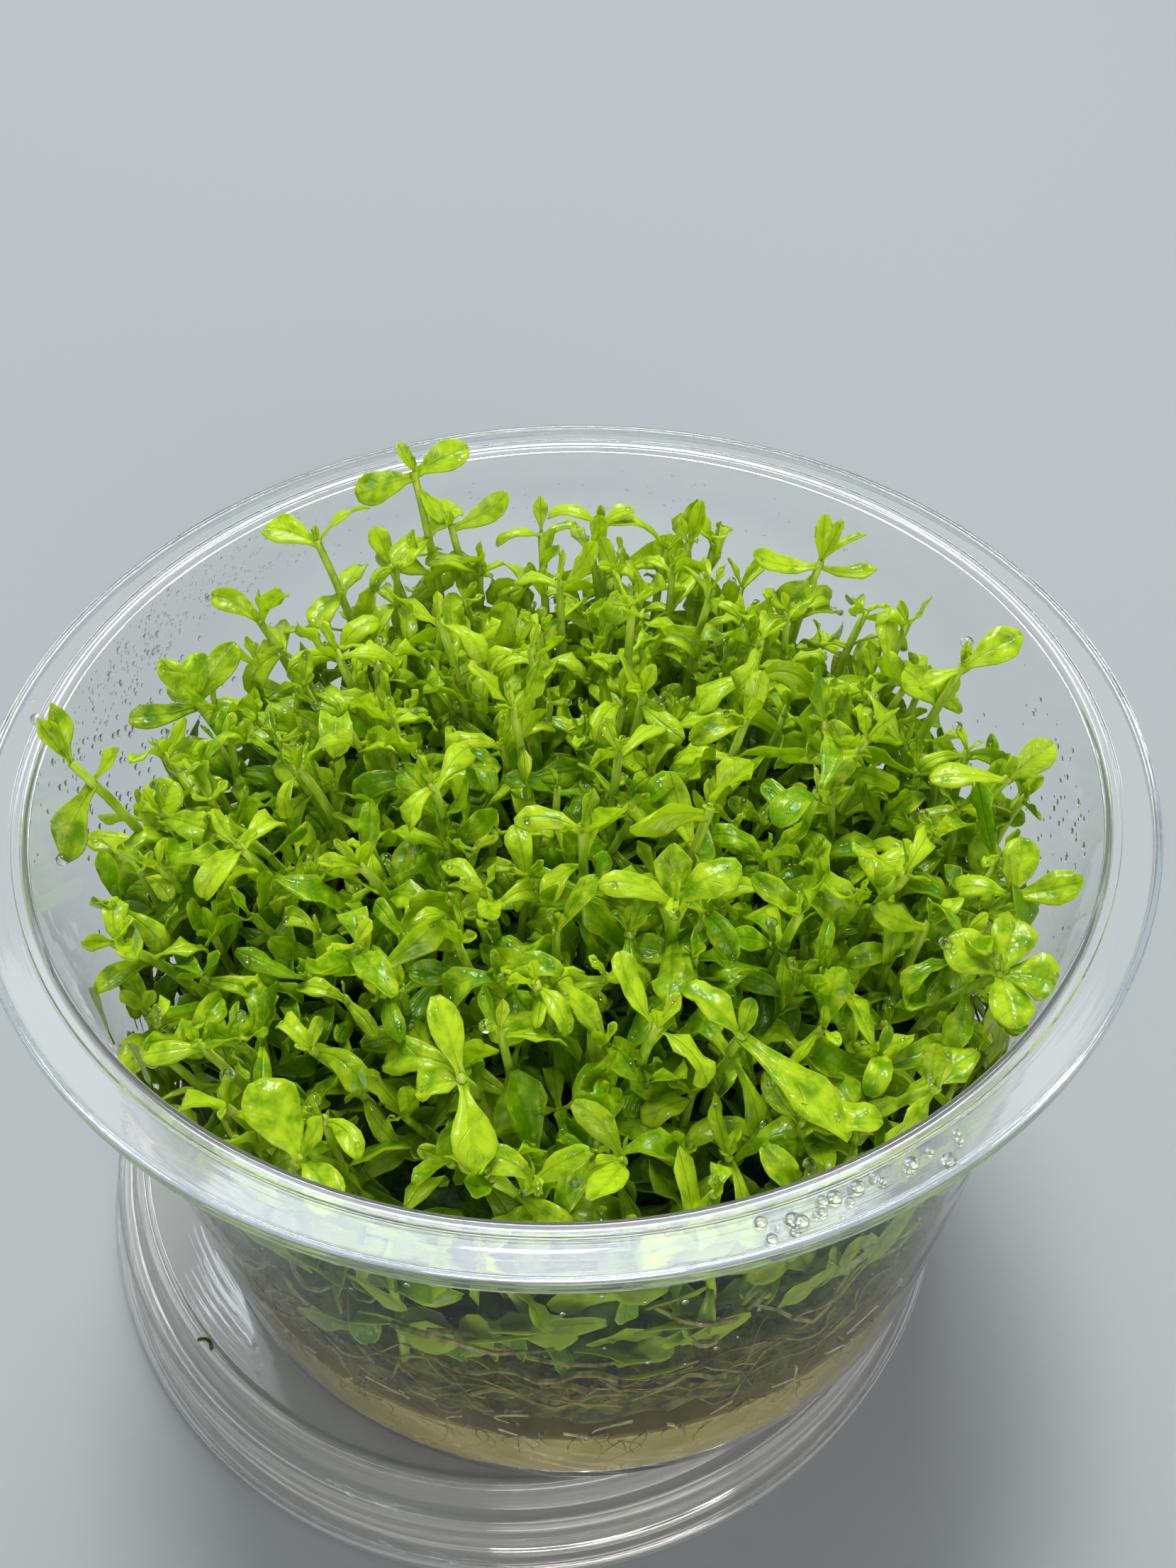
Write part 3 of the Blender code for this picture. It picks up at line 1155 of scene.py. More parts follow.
@dataclass
class Leaf:
    """A spoon-shaped leaf that narrows to a short stalk, arches over and may twist."""

    base: Vector
    heading: float
    rise: float
    length: float
    width: float
    arch: float = math.radians(50)
    swerve: float = 0.0
    roll: float = 0.0
    twist: float = 0.0
    trough: float = 0.2
    ruffle: float = 0.1
    phase: float = 0.0
    tip: Tip = Tip.ROUND
    tint: float = 0.5
    thickness: float = 0.25 * MM
    rows: int = 7
    columns: int = 4
    widest_power: float = 1.5
    stalk: float = 0.24
    stalk_share: float = 0.14
    tip_width: float = 0.27
    point_width: float = 0.1
    arch_power: float = 1.5
    crowding: float = 1.35
    waves: float = 1.9

    def outline(self, share: float) -> float:
        """The blade's width along its length.

        Args:
            share: How far along the leaf, from 0 to 1.

        Returns:
            The width as a share of the full width.
        """
        blade = max(0.0, (share - self.stalk_share) / (1.0 - self.stalk_share))
        swell = max(0.0, math.sin(math.pi * blade**self.widest_power)) ** self.tip.value
        stalk = self.stalk * (1.0 - share)
        narrowest = self.point_width if self.tip is Tip.POINTED else self.tip_width
        return max(narrowest, stalk + (1.0 - stalk) * swell)

    def stations(self) -> list[Station]:
        """The cross-sections from the stalk to the tip.

        Returns:
            The cross-sections.
        """
        found = []
        centre = self.base.copy()
        last = 0.0
        for row in range(self.rows + 1):
            share = 1.0 - (1.0 - row / self.rows) ** self.crowding
            rise = self.rise - self.arch * share**self.arch_power
            heading = self.heading + self.swerve * share
            level = Vector((math.cos(heading), math.sin(heading), 0.0))
            along = level * math.cos(rise) + UP * math.sin(rise)
            centre = centre + along * (self.length * (share - last))
            last = share
            turn = Matrix.Rotation(self.roll + self.twist * share, 3, along)
            side = turn @ Vector((-level.y, level.x, 0.0))
            found.append(
                Station(
                    centre=centre,
                    side=side,
                    normal=along.cross(side),
                    half_width=self.width / 2 * self.outline(share),
                    lift=self.trough,
                    ruffle=self.ruffle * math.sin(math.tau * (self.waves * share + self.phase)),
                )
            )
        return found

    def grow(self, bm: bmesh.types.BMesh, marks: Marks) -> Perch:
        """Adds the leaf to a mesh as a thin closed blade.

        Args:
            bm: The mesh.
            marks: The mesh's layers.

        Returns:
            A spot on the blade where a drop can sit.
        """
        stations = self.stations()
        made = bmesh.ops.create_grid(
            bm, x_segments=self.rows, y_segments=self.columns, size=0.5
        )["verts"]
        for vert in made:
            row = round((vert.co.x + 0.5) * self.rows)
            across = 2.0 * vert.co.y
            vert[marks.along] = row / self.rows
            vert[marks.across] = across
            vert[marks.tint] = self.tint
            vert.co = stations[row].spot(across)
        faces = list(dict.fromkeys(face for vert in made for face in vert.link_faces))
        bmesh.ops.solidify(bm, geom=faces, thickness=self.thickness)
        outer = stations[self.rows - 2]
        return Perch(outer.spot(0.25), outer.normal, stations[-1].centre)


def tapered(radius: float, loss: float, steps: int) -> list[float]:
    """Radii that shrink evenly along a tube.

    Args:
        radius: The first radius.
        loss: The share of it that is lost by the end.
        steps: The parts of the tube.

    Returns:
        A radius for each point.
    """
    return [radius * (1.0 - loss * step / steps) for step in range(steps + 1)]


def ring_frames(path: list[Vector], radii: list[float]) -> list[Matrix]:
    """Frames along a path that turn no more than the path does.

    Args:
        path: The path's points.
        radii: The ring's radius at each point.

    Returns:
        A matrix that takes a unit ring to each point.
    """
    frames = []
    turn = None
    before = UP
    for number, point in enumerate(path):
        ahead = path[min(number + 1, len(path) - 1)] - path[max(number - 1, 0)]
        ahead.normalize()
        step = before.rotation_difference(ahead)
        turn = step if turn is None else step @ turn
        before = ahead
        size = Matrix.Diagonal((radii[number], radii[number], radii[number], 1.0))
        frames.append(Matrix.Translation(point) @ turn.to_matrix().to_4x4() @ size)
    return frames


def tube(
    target: bmesh.types.BMesh,
    path: list[Vector],
    radii: list[float],
    sides: int,
    material: int = 0,
    tint: float = 0.5,
) -> None:
    """Sweeps a closed tube along a path.

    Args:
        target: The mesh that it is added to.
        path: The path's points.
        radii: Its radius at each point.
        sides: The sides of its section.
        material: The number of its material.
        tint: The tint that its vertices carry.
    """
    bm = bmesh.new()
    marks = Marks(bm)
    frames = ring_frames(path, radii)
    ring = bmesh.ops.create_circle(bm, segments=sides, radius=1.0, matrix=frames[0])["verts"]
    verts = list(ring)
    edges = list(dict.fromkeys(edge for vert in ring for edge in vert.link_edges))
    faces = list(bmesh.ops.contextual_create(bm, geom=edges)["faces"])
    for before, after in zip(frames, frames[1:]):
        grown = bmesh.ops.extrude_edge_only(bm, edges=edges)["geom"]
        ring = [item for item in grown if isinstance(item, bmesh.types.BMVert)]
        edges = [item for item in grown if isinstance(item, bmesh.types.BMEdge)]
        faces += [item for item in grown if isinstance(item, bmesh.types.BMFace)]
        bmesh.ops.transform(bm, matrix=after @ before.inverted(), verts=ring)
        verts += ring
    faces += bmesh.ops.contextual_create(bm, geom=edges)["faces"]
    for vert in verts:
        vert[marks.tint] = tint
    for face in faces:
        face.material_index = material
    poured(target, bm)


def spiral_spot(number: int, count: int, radius: float, centre: Vector) -> tuple[float, float]:
    """One spot of a crowd that shares out a disc evenly, as a sunflower's seeds do.

    Args:
        number: The spot's number from the middle out.
        count: The number of spots.
        radius: The disc's radius.
        centre: The disc's centre.

    Returns:
        The spot's x and y.
    """
    reach = radius * math.sqrt((number + 0.5) / count)
    angle = number * GOLDEN_ANGLE
    return centre.x + math.cos(angle) * reach, centre.y + math.sin(angle) * reach


def bent_path(start: Vector, end: Vector, bow: Vector, steps: int) -> list[Vector]:
    """Points on a smooth arc.

    Args:
        start: Its start.
        end: Its end.
        bow: How far its middle is pulled.
        steps: The parts of the arc.

    Returns:
        The points from start to end.
    """
    points = []
    for step in range(steps + 1):
        share = step / steps
        points.append(start.lerp(end, share) + bow * (4.0 * share * (1.0 - share)))
    return points


@dataclass(frozen=True)
class Cushion:
    """A lumpy cushion of what has grown together; heights count from the cup's base."""

    low: float
    high: float
    radius: float
    squareness: int
    lump_size: float
    lump_depth: float
    squash: float = 1.0
    shift: float = 0.0
    divisions: int = 5
    layers: int = 3

    def mesh(self) -> bmesh.types.BMesh:
        """Models it from a ball that is pressed flat and square.

        Returns:
            The mesh.
        """
        bm = bmesh.new()
        bmesh.ops.create_icosphere(bm, subdivisions=self.divisions, radius=1.0)
        power = self.squareness
        for vert in bm.verts:
            outward = vert.co.copy()
            level = math.hypot(outward.x, outward.y)
            stretch = (level**power + abs(outward.z) ** power) ** (-1.0 / power)
            share = (outward.z * stretch + 1.0) / 2
            spot = Vector(
                (
                    outward.x * stretch * self.radius,
                    outward.y * stretch * self.radius + self.shift,
                    self.low + share * (self.high - self.low),
                )
            )
            lump_spot = Vector((spot.x, spot.y, spot.z * self.squash)) / self.lump_size
            lump = noise.fractal(lump_spot, 1.0, 2.0, self.layers)
            spot += outward * lump * self.lump_depth
            spot.z = max(spot.z, self.low)
            vert.co = spot
        return bm


@dataclass(frozen=True)
class Pose:
    """How a leaf seen clearly in the photo is held, in degrees and millimetres.

    Its depth is how far below the shoot's top it grows.
    """

    depth: float
    heading: float
    rise: float
    length: float
    width: float
    arch: float
    roll: float = 0.0
    tip: Tip = Tip.ROUND


@dataclass
class Shoot:
    """A stem with opposite pairs of leaves, each pair a quarter turn from the last."""

    foot: Vector
    top: Vector
    heading: float
    leaf_length: float
    cup: CupPlace
    chance: random.Random
    tint: float
    poses: tuple[Pose, ...] = ()
    stem_radius: float = 0.6 * MM
    stem_taper: float = 0.3
    stem_steps: int = 6
    lean: float = 0.22
    sway: float = 0.8 * MM
    spacing: float = 4.8 * MM
    bud_spacing: float = 0.8 * MM
    last_pair: int = 4
    leafy_share: float = 0.94
    pair_sizes: tuple[float, ...] = (0.42, 0.9, 1.0)
    pair_rises: tuple[float, ...] = (64.0, 44.0, 28.0, 12.0)
    arches: tuple[float, ...] = (-20.0, 35.0, 70.0, 100.0, 135.0)
    bud_arch: float = 0.3
    wall_room: float = 0.5 * MM

    def stem(self) -> list[Vector]:
        """The stem's points from its foot to its top.

        Returns:
            The points.
        """
        lean = Vector((self.foot.x - self.top.x, self.foot.y - self.top.y, 0.0)) * self.lean
        sway = Vector((self.chance.uniform(-1, 1), self.chance.uniform(-1, 1), 0.0)) * self.sway
        return bent_path(self.foot, self.top, lean + sway, self.stem_steps)

    def posed(self, path: list[Vector], pose: Pose) -> Leaf:
        """A leaf that is held as the photo shows it.

        Args:
            path: The stem's points.
            pose: How the leaf is held.

        Returns:
            The leaf.
        """
        return Leaf(
            base=self.point_below_top(path, pose.depth * MM),
            heading=math.radians(pose.heading),
            rise=math.radians(pose.rise),
            length=pose.length * MM,
            width=pose.width * MM,
            arch=math.radians(pose.arch),
            roll=math.radians(pose.roll),
            trough=self.chance.uniform(0.1, 0.45),
            ruffle=self.chance.uniform(0.08, 0.28),
            twist=math.radians(self.chance.uniform(-25, 25)),
            phase=self.chance.random(),
            tip=pose.tip,
            tint=min(0.72, self.tint) + self.chance.uniform(-0.15, 0.15),
            rows=8,
        )

    def drawn(self, node: Vector, heading: float, pair: int) -> Leaf:
        """A leaf whose shape is drawn by lot; pair 0 is the bud at the tip.

        Args:
            node: Where it grows from.
            heading: Its compass direction.
            pair: The number of its pair from the top.

        Returns:
            The leaf.
        """
        draw = self.chance
        size = self.pair_sizes[min(pair, len(self.pair_sizes) - 1)]
        length = self.leaf_length * size * draw.uniform(0.78, 1.18)
        rise = self.pair_rises[min(pair, len(self.pair_rises) - 1)] + draw.uniform(-30, 30)
        return Leaf(
            base=node,
            heading=heading + math.radians(draw.uniform(-20, 20)),
            rise=math.radians(rise),
            length=length,
            width=length * draw.uniform(0.28, 0.46),
            arch=math.radians(draw.choice(self.arches) * (self.bud_arch if pair == 0 else 1.0)),
            swerve=math.radians(draw.uniform(-50, 50)),
            roll=math.radians(draw.uniform(-45, 45)),
            twist=math.radians(draw.uniform(-75, 75)),
            trough=draw.uniform(-0.3, 0.7),
            ruffle=draw.uniform(0.1, 0.55),
            phase=draw.random(),
            tip=draw.choice((Tip.ROUND, Tip.ROUND, Tip.ROUND, Tip.BLUNT)),
            tint=min(1.0, max(0.0, self.tint + 0.2 - 0.13 * pair + draw.uniform(-0.25, 0.25))),
            widest_power=draw.uniform(1.3, 1.8),
        )

    def fitted(self, leaf: Leaf, tries: int = 6) -> Leaf:
        """Turns a leaf inwards and shortens it until the wall has room for its tip.

        Args:
            leaf: The leaf.
            tries: How often it may be turned.

        Returns:
            The leaf that fits.
        """
        inward = math.atan2(-leaf.base.y, -leaf.base.x)
        for _ in range(tries):
            if self.cup.holds(leaf.stations()[-1].centre, self.wall_room):
                break
            swing = (inward - leaf.heading + math.pi) % math.tau - math.pi
            leaf = replace(leaf, heading=leaf.heading + swing * 0.3, length=leaf.length * 0.95)
        return leaf

    def leaves(self, path: list[Vector]) -> list[Leaf]:
        """All its leaves: those read from the photo, then pairs by lot down the stem.

        Args:
            path: The stem's points.

        Returns:
            The leaves.
        """
        length = sum((after - before).length for before, after in zip(path, path[1:]))
        grown = [self.posed(path, pose) for pose in self.poses]
        depth = 0.0
        first = 0
        if self.poses:
            depth = max(pose.depth for pose in self.poses) * MM + self.spacing
            first = 2
        for pair in range(first, self.last_pair + 1):
            if depth > length * self.leafy_share:
                break
            node = self.point_below_top(path, depth)
            turn = self.heading + pair * math.pi / 2
            grown += [self.fitted(self.drawn(node, turn + side, pair)) for side in (0.0, math.pi)]
            step = self.bud_spacing if pair == 0 else self.spacing
            depth += step * self.chance.uniform(0.75, 1.3)
        return grown

    def grow(self, target: bmesh.types.BMesh) -> list[Perch]:
        """Adds the shoot to a mesh.

        Args:
            target: The mesh, with its layers already made.

        Returns:
            The spots on its leaves where drops can sit or hang.
        """
        bm = bmesh.new()
        marks = Marks(bm)
        path = self.stem()
        radii = tapered(self.stem_radius, self.stem_taper, self.stem_steps)
        tube(bm, path, radii, STEM_SIDES, material=1, tint=self.tint)
        perches = [leaf.grow(bm, marks) for leaf in self.leaves(path)]
        for vert in bm.verts:
            vert.co = self.cup.pressed(vert.co)
        poured(target, bm)
        return perches

    def point_below_top(self, path: list[Vector], depth: float) -> Vector:
        """Finds the point on the stem this far below its top.

        Args:
            path: The stem's points.
            depth: The length of stem above the point.

        Returns:
            The point, or the foot where the stem is shorter.
        """
        left = depth
        for upper, lower in zip(path[::-1], path[-2::-1]):
            step = (lower - upper).length
            if step >= left:
                return upper.lerp(lower, left / step)
            left -= step
        return path[0].copy()


@dataclass(frozen=True)
class Stance:
    """Where a shoot stands: its top node, its top leaves' heading and length, its clear leaves."""

    x: float
    y: float
    height: float
    heading: float
    leaf: float
    poses: tuple[Pose, ...] = ()

    def top(self) -> Vector:
        """The top node in metres."""
        return Vector((self.x, self.y, self.height)) * MM


PROMINENT = {
    "shoot_back_left_tall": Stance(
        -16.6, 38.2, 65.0, 15, 7.6,
        (
            Pose(0.3, 20, 26, 6.6, 3.3, 22, 38),
            Pose(0.5, 192, -6, 6.8, 3.4, 14, -38),
            Pose(0.1, 150, 68, 3.6, 1.6, 15, 0, Tip.BLUNT),
            Pose(0.1, 60, 75, 1.8, 0.9, 0),
            Pose(1.6, -50, -28, 4.8, 1.9, 10),
            Pose(7.6, 60, 22, 6.2, 3.2, 40, 10),
            Pose(7.8, 240, 26, 6.6, 3.3, 55),
        ),
    ),
    "shoot_back_left": Stance(
        -27.2, 32.2, 60.4, 10, 7.2,
        (
            Pose(0.3, 165, 20, 6.5, 3.7, 24, -26),
            Pose(0.3, 28, 52, 7.2, 2.5, 66, -12),
            Pose(0.0, 90, 72, 1.7, 0.9, 0),
            Pose(6.4, 250, 24, 6.4, 3.2, 50),
            Pose(6.6, 72, 18, 6.0, 3.0, 40),
        ),
    ),
    "shoot_left_back": Stance(
        -38.3, 13.5, 54.1, 165, 7.0,
        (
            Pose(0.1, 140, 40, 5.6, 2.5, 15, -30, Tip.BLUNT),
            Pose(0.2, 88, 42, 5.2, 3.2, 15),
            Pose(0.3, 42, 44, 7.4, 2.9, 14, 34),
            Pose(0.8, 188, -14, 7.6, 2.5, -24, -20),
            Pose(0.6, 175, -12, 4.6, 1.4, 10, 0, Tip.POINTED),
            Pose(5.6, 215, 12, 6.4, 4.0, 24, -20),
            Pose(5.8, 30, 10, 6.4, 3.6, 30, 20),
        ),
    ),
    "shoot_far_left": Stance(
        -44.0, -4.0, 62.6, 95, 7.4,
        (
            Pose(0.0, 112, 58, 5.6, 2.3, 5, 24, Tip.POINTED),
            Pose(0.0, 152, 64, 5.0, 2.1, 0, 0, Tip.POINTED),
            Pose(2.7, 25, 38, 4.4, 1.9, -10, 0, Tip.POINTED),
            Pose(2.9, 236, -28, 7.6, 4.0, 32, -10, Tip.BLUNT),
            Pose(11.3, 185, -8, 5.6, 2.3, -34),
            Pose(11.4, 62, 44, 6.2, 4.0, 24),
            Pose(17.5, 170, 16, 7.0, 3.7, -18, -30),
            Pose(17.6, 3, 12, 7.6, 4.3, 20, 22),
        ),
    ),
    "shoot_left_front": Stance(-38.5, -19.0, 56.0, 40, 6.6),
    "shoot_back_middle": Stance(
        -3.0, 40.0, 55.4, 60, 6.4,
        (
            Pose(0.0, 90, 60, 4.2, 1.8, 10, 0, Tip.POINTED),
            Pose(0.4, 200, 34, 5.8, 2.0, 70),
            Pose(0.4, 15, 30, 5.0, 1.8, 60),
        ),
    ),
    "shoot_back_arch": Stance(
        11.3, 38.0, 54.2, 0, 7.0,
        (
            Pose(0.3, 172, 74, 9.4, 2.2, 116, 10),
            Pose(0.3, 25, 34, 7.4, 2.3, -46, 20, Tip.POINTED),
            Pose(0.0, 90, 70, 1.6, 0.8, 0),
            Pose(3.8, 60, 52, 5.6, 3.9, 10, 20),
            Pose(4.0, 200, -6, 5.6, 2.6, 30),
        ),
    ),
    "shoot_back_pointed": Stance(17.0, 38.5, 54.5, 35, 7.0),
    "shoot_back_right_tall": Stance(
        27.9, 30.5, 57.7, 20, 6.6,
        (
            Pose(0.0, 90, 78, 5.4, 2.1, 0, 0, Tip.BLUNT),
            Pose(0.0, 30, 64, 5.0, 1.6, 6, 30),
            Pose(0.0, 14, 48, 5.8, 1.1, 44, 0, Tip.POINTED),
            Pose(0.6, -5, -26, 6.6, 2.1, -54, 20, Tip.BLUNT),
            Pose(0.6, 178, -10, 7.8, 2.8, -50, -14),
            Pose(2.2, 215, -24, 5.2, 4.0, 20, -30),
            Pose(6.8, 20, 16, 5.6, 2.4, 60),
            Pose(6.9, 200, 20, 5.6, 2.8, 60),
        ),
    ),
    "shoot_right_back": Stance(35.4, 19.5, 57.6, 100, 6.6),
    "shoot_right_tall": Stance(
        38.2, 8.6, 61.2, 25, 6.8,
        (
            Pose(0.0, 90, 80, 2.6, 1.1, 0),
            Pose(0.0, -60, 70, 2.0, 1.0, 0),
            Pose(0.4, 18, 30, 6.6, 3.4, 14, 40, Tip.BLUNT),
            Pose(0.6, 200, 12, 4.4, 2.0, 50),
            Pose(5.0, 150, 44, 5.0, 3.1, 20, -20),
            Pose(5.2, 40, 62, 4.2, 2.2, -30, 20),
        ),
    ),
    "shoot_right": Stance(
        40.4, -3.6, 58.2, 60, 6.8,
        (
            Pose(0.4, 176, 16, 7.0, 2.8, 36, 6),
            Pose(0.4, 25, 34, 5.4, 2.9, 8, 36),
            Pose(0.0, 90, 80, 2.4, 1.2, 0),
            Pose(4.8, 186, 8, 5.6, 2.0, 26, 20),
            Pose(4.8, 50, 42, 5.4, 1.9, -10),
            Pose(6.2, -70, -16, 5.6, 3.4, 44),
        ),
    ),
    "shoot_right_low": Stance(
        38.8, -15.0, 55.4, 20, 6.4,
        (
            Pose(0.4, 165, 26, 5.8, 2.5, 84),
            Pose(0.4, -5, 14, 6.4, 3.1, -18, 24, Tip.BLUNT),
            Pose(0.1, 120, 66, 4.0, 1.8, 0),
            Pose(0.3, 70, 42, 5.2, 3.2, 12),
        ),
    ),
    "shoot_right_front": Stance(
        35.2, -24.5, 57.0, 70, 6.2,
        (
            Pose(0.2, 152, 28, 5.0, 3.9, 28),
            Pose(0.2, 64, 30, 5.0, 3.7, 24),
            Pose(0.3, -18, 20, 5.0, 3.8, 30),
            Pose(0.3, -88, 12, 5.0, 3.8, 34),
            Pose(0.1, 108, 62, 1.8, 1.2, 0),
        ),
    ),
    "shoot_front_left_big": Stance(
        -20.6, -37.6, 52.8, 110, 7.6,
        (
            Pose(0.2, 128, 36, 7.0, 4.5, 18),
            Pose(0.3, -52, 20, 5.6, 3.0, 30),
            Pose(0.1, 40, 56, 4.0, 2.0, 10),
        ),
    ),
    "shoot_front": Stance(
        -8.3, -33.0, 56.4, 80, 7.0,
        (
            Pose(0.3, -78, -4, 7.4, 3.8, 30, 0, Tip.POINTED),
            Pose(0.3, 112, 46, 6.8, 2.8, 30, 0, Tip.BLUNT),
            Pose(0.5, 190, 12, 3.8, 3.1, 44),
        ),
    ),
    "shoot_front_long_leaf": Stance(
        13.6, -30.0, 57.0, 130, 8.0,
        (
            Pose(0.3, -46, 0, 11.2, 4.0, 24),
            Pose(0.3, 140, 40, 6.0, 3.0, 50),
            Pose(0.1, 60, 66, 3.4, 1.7, 10),
        ),
    ),
    "shoot_front_right": Stance(28.5, -33.8, 55.0, 40, 6.6),
}

BACKGROUND = (
    Stance(
        -13.1, 38.0, 58.0, 22, 7.0,
        (
            Pose(0.3, 22, 4, 7.6, 2.7, -40, 34),
            Pose(0.6, 140, 44, 5.2, 2.0, 10, 30, Tip.BLUNT),
            Pose(0.0, 90, 76, 1.7, 0.9, 0),
        ),
    ),
    Stance(
        -20.3, 36.0, 54.3, 40, 7.0,
        (
            Pose(0.2, 120, 48, 4.8, 2.5, 20, -10),
            Pose(0.4, 30, 30, 6.6, 3.0, 60),
        ),
    ),
    Stance(
        3.9, 38.5, 57.5, 170, 7.0,
        (
            Pose(0.3, 168, 44, 6.8, 2.2, 84),
            Pose(0.3, 12, 50, 4.4, 1.8, 60),
            Pose(0.0, 90, 72, 2.2, 1.0, 0),
        ),
    ),
    Stance(-33.0, 24.0, 56.0, 70, 6.8),
    Stance(32.5, 25.5, 54.6, 10, 6.6),
    Stance(-31.0, -27.5, 53.0, 130, 7.2),
    Stance(4.0, -39.0, 54.0, 20, 7.6),
)


@dataclass
class Foliage:
    """All that is green: the prominent shoots, the bed's shoots and the leaves at the wall."""

    cup: CupPlace
    leaf: LeafFinish
    stem: StemFinish
    shaded_wall_leaf: LeafFinish
    seed: int = 11
    canopy_height: float = 57.5 * MM
    swell: float = 4.0 * MM
    swell_size: float = 12.0 * MM
    front_start: float = 26.0 * MM
    front_slope: float = 0.25
    spiral_count: int = 27
    spiral_radius: float = 31.5 * MM
    spiral_centre: Vector = field(default_factory=lambda: Vector((0.5 * MM, -2.0 * MM)))
    spiral_leaf: float = 7.2
    single_foot: float = 36.0 * MM
    single_lean: float = 0.86
    bed_count: int = 268
    bed_radius: float = 42.5 * MM
    bed_centre: Vector = field(default_factory=lambda: Vector((0.0, -2.6 * MM)))
    bed_stray: float = 1.4 * MM
    bed_drops: tuple[float, ...] = (0.5 * MM, 2.5 * MM, 5.0 * MM, 9.0 * MM)
    bed_stem: float = 21.0 * MM
    bed_lean: float = 0.93
    elbow_room: float = 1.8 * MM
    wall_leaf_count: int = 300
    wall_leaf_low: float = 26.0 * MM
    wall_leaf_high: float = 41.0 * MM
    wall_leaf_high_front: float = 51.0 * MM
    perches: list[Perch] = field(default_factory=list)

    def __post_init__(self) -> None:
        """Makes the materials, starts the draws and finds where the single shoots stand."""
        self.materials = [self.leaf.material(), self.stem.material()]
        self.wall_materials = [self.shaded_wall_leaf.material()]
        self.chance = random.Random(self.seed)
        self.single = self.standing()

    def canopy(self, x: float, y: float) -> float:
        """The height that the tuft's upper leaves reach over a point of the plan.

        Args:
            x: The point's x in the cup's frame.
            y: The point's y in the cup's frame.

        Returns:
            The height above the cup's base.
        """
        swell = noise.noise(Vector((x, y, 0.0)) / self.swell_size) * self.swell
        front = max(0.0, -y - self.front_start) * self.front_slope
        return self.canopy_height + swell - front

    def painted_back_glow(self, y: float) -> float:
        """How much paler the shoots are painted towards the back: painted light for the glow of the
        light behind them.
        """
        return max(0.0, y) / MM * 0.012

    def stem_top(self, node: str, x: float, y: float, reach: float = 0.9 * MM) -> float:
        """The height of a solid shoot's top over its spot, in the cup's frame.

        Args:
            node: The solid's name.
            x: The spot in the cup's frame.
            y: The spot in the cup's frame.
            reach: How far round the spot the stem reaches.

        Returns:
            The height above the cup's base.
        """
        spot = Vector((x, y)) + self.cup.origin.xy
        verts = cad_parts[node].data.vertices
        near = [vert.co.z for vert in verts if (vert.co.xy - spot).length < reach]
        return max(near) - self.cup.origin.z

    def standing(self) -> dict[str, Stance]:
        """Every single shoot that has a solid.

        Returns:
            Each shoot's stance by its solid's name.
        """
        stances = dict(PROMINENT)
        for number in range(self.spiral_count):
            x, y = spiral_spot(number, self.spiral_count, self.spiral_radius, self.spiral_centre)
            name = f"shoot_{number + 1:02d}"
            height = self.stem_top(name, x, y)
            heading = math.degrees((number + 1) * GOLDEN_ANGLE)
            stances[name] = Stance(x / MM, y / MM, height / MM, heading, self.spiral_leaf)
        return stances

    def risen(self, stance: Stance) -> Shoot:
        """A single shoot at its stance.

        Args:
            stance: Where and how it stands.

        Returns:
            The shoot.
        """
        top = stance.top()
        return Shoot(
            foot=Vector((top.x * self.single_lean, top.y * self.single_lean, self.single_foot)),
            top=top,
            heading=math.radians(stance.heading),
            leaf_length=stance.leaf * MM,
            cup=self.cup,
            chance=self.chance,
            tint=self.chance.uniform(0.45, 0.75) + self.painted_back_glow(top.y),
            poses=stance.poses,
        )

    def build_single_shoots(self) -> None:
        """Grows the shoots that stand for solids of their own."""
        for name, stance in self.single.items():
            bm = started()
            self.perches += self.risen(stance).grow(bm)
            piece = finished(bm, f"grown_{name}", self.materials, self.cup.origin, SOFT_EDGE)
            handed_in(piece, Slot.SHOOTS, name)

    def bed_shoot(self, number: int, taken: list[Vector]) -> Shoot | None:
        """Plans one of the bed's own shoots.

        Args:
            number: Its number from the middle out.
            taken: The spots where single shoots stand.

        Returns:
            The shoot, or None where a single shoot stands already.
        """
        draw = self.chance
        x, y = spiral_spot(number, self.bed_count, self.bed_radius, self.bed_centre)
        x += draw.uniform(-self.bed_stray, self.bed_stray)
        y += draw.uniform(-self.bed_stray, self.bed_stray)
        height = self.canopy(x, y) - draw.choice(self.bed_drops) - draw.uniform(0.0, 2.5) * MM
        if min((Vector((x, y)) - other).length for other in taken) < self.elbow_room:
            return None
        top = self.cup.pressed(Vector((x, y, height)), soft=3.0 * MM, room=1.0 * MM)
        lean = Vector((draw.uniform(-4, 4), draw.uniform(-4, 4))) * MM
        foot = Vector(
            (top.x * self.bed_lean + lean.x, top.y * self.bed_lean + lean.y, height - self.bed_stem)
        )
        return Shoot(
            foot=foot,
            top=top,
            heading=draw.uniform(0.0, math.tau),
            leaf_length=draw.uniform(5.4, 7.8) * MM,
            cup=self.cup,
            chance=draw,
            tint=draw.uniform(0.2, 0.75) + self.painted_back_glow(y),
            stem_radius=0.52 * MM,
            spacing=4.4 * MM,
        )

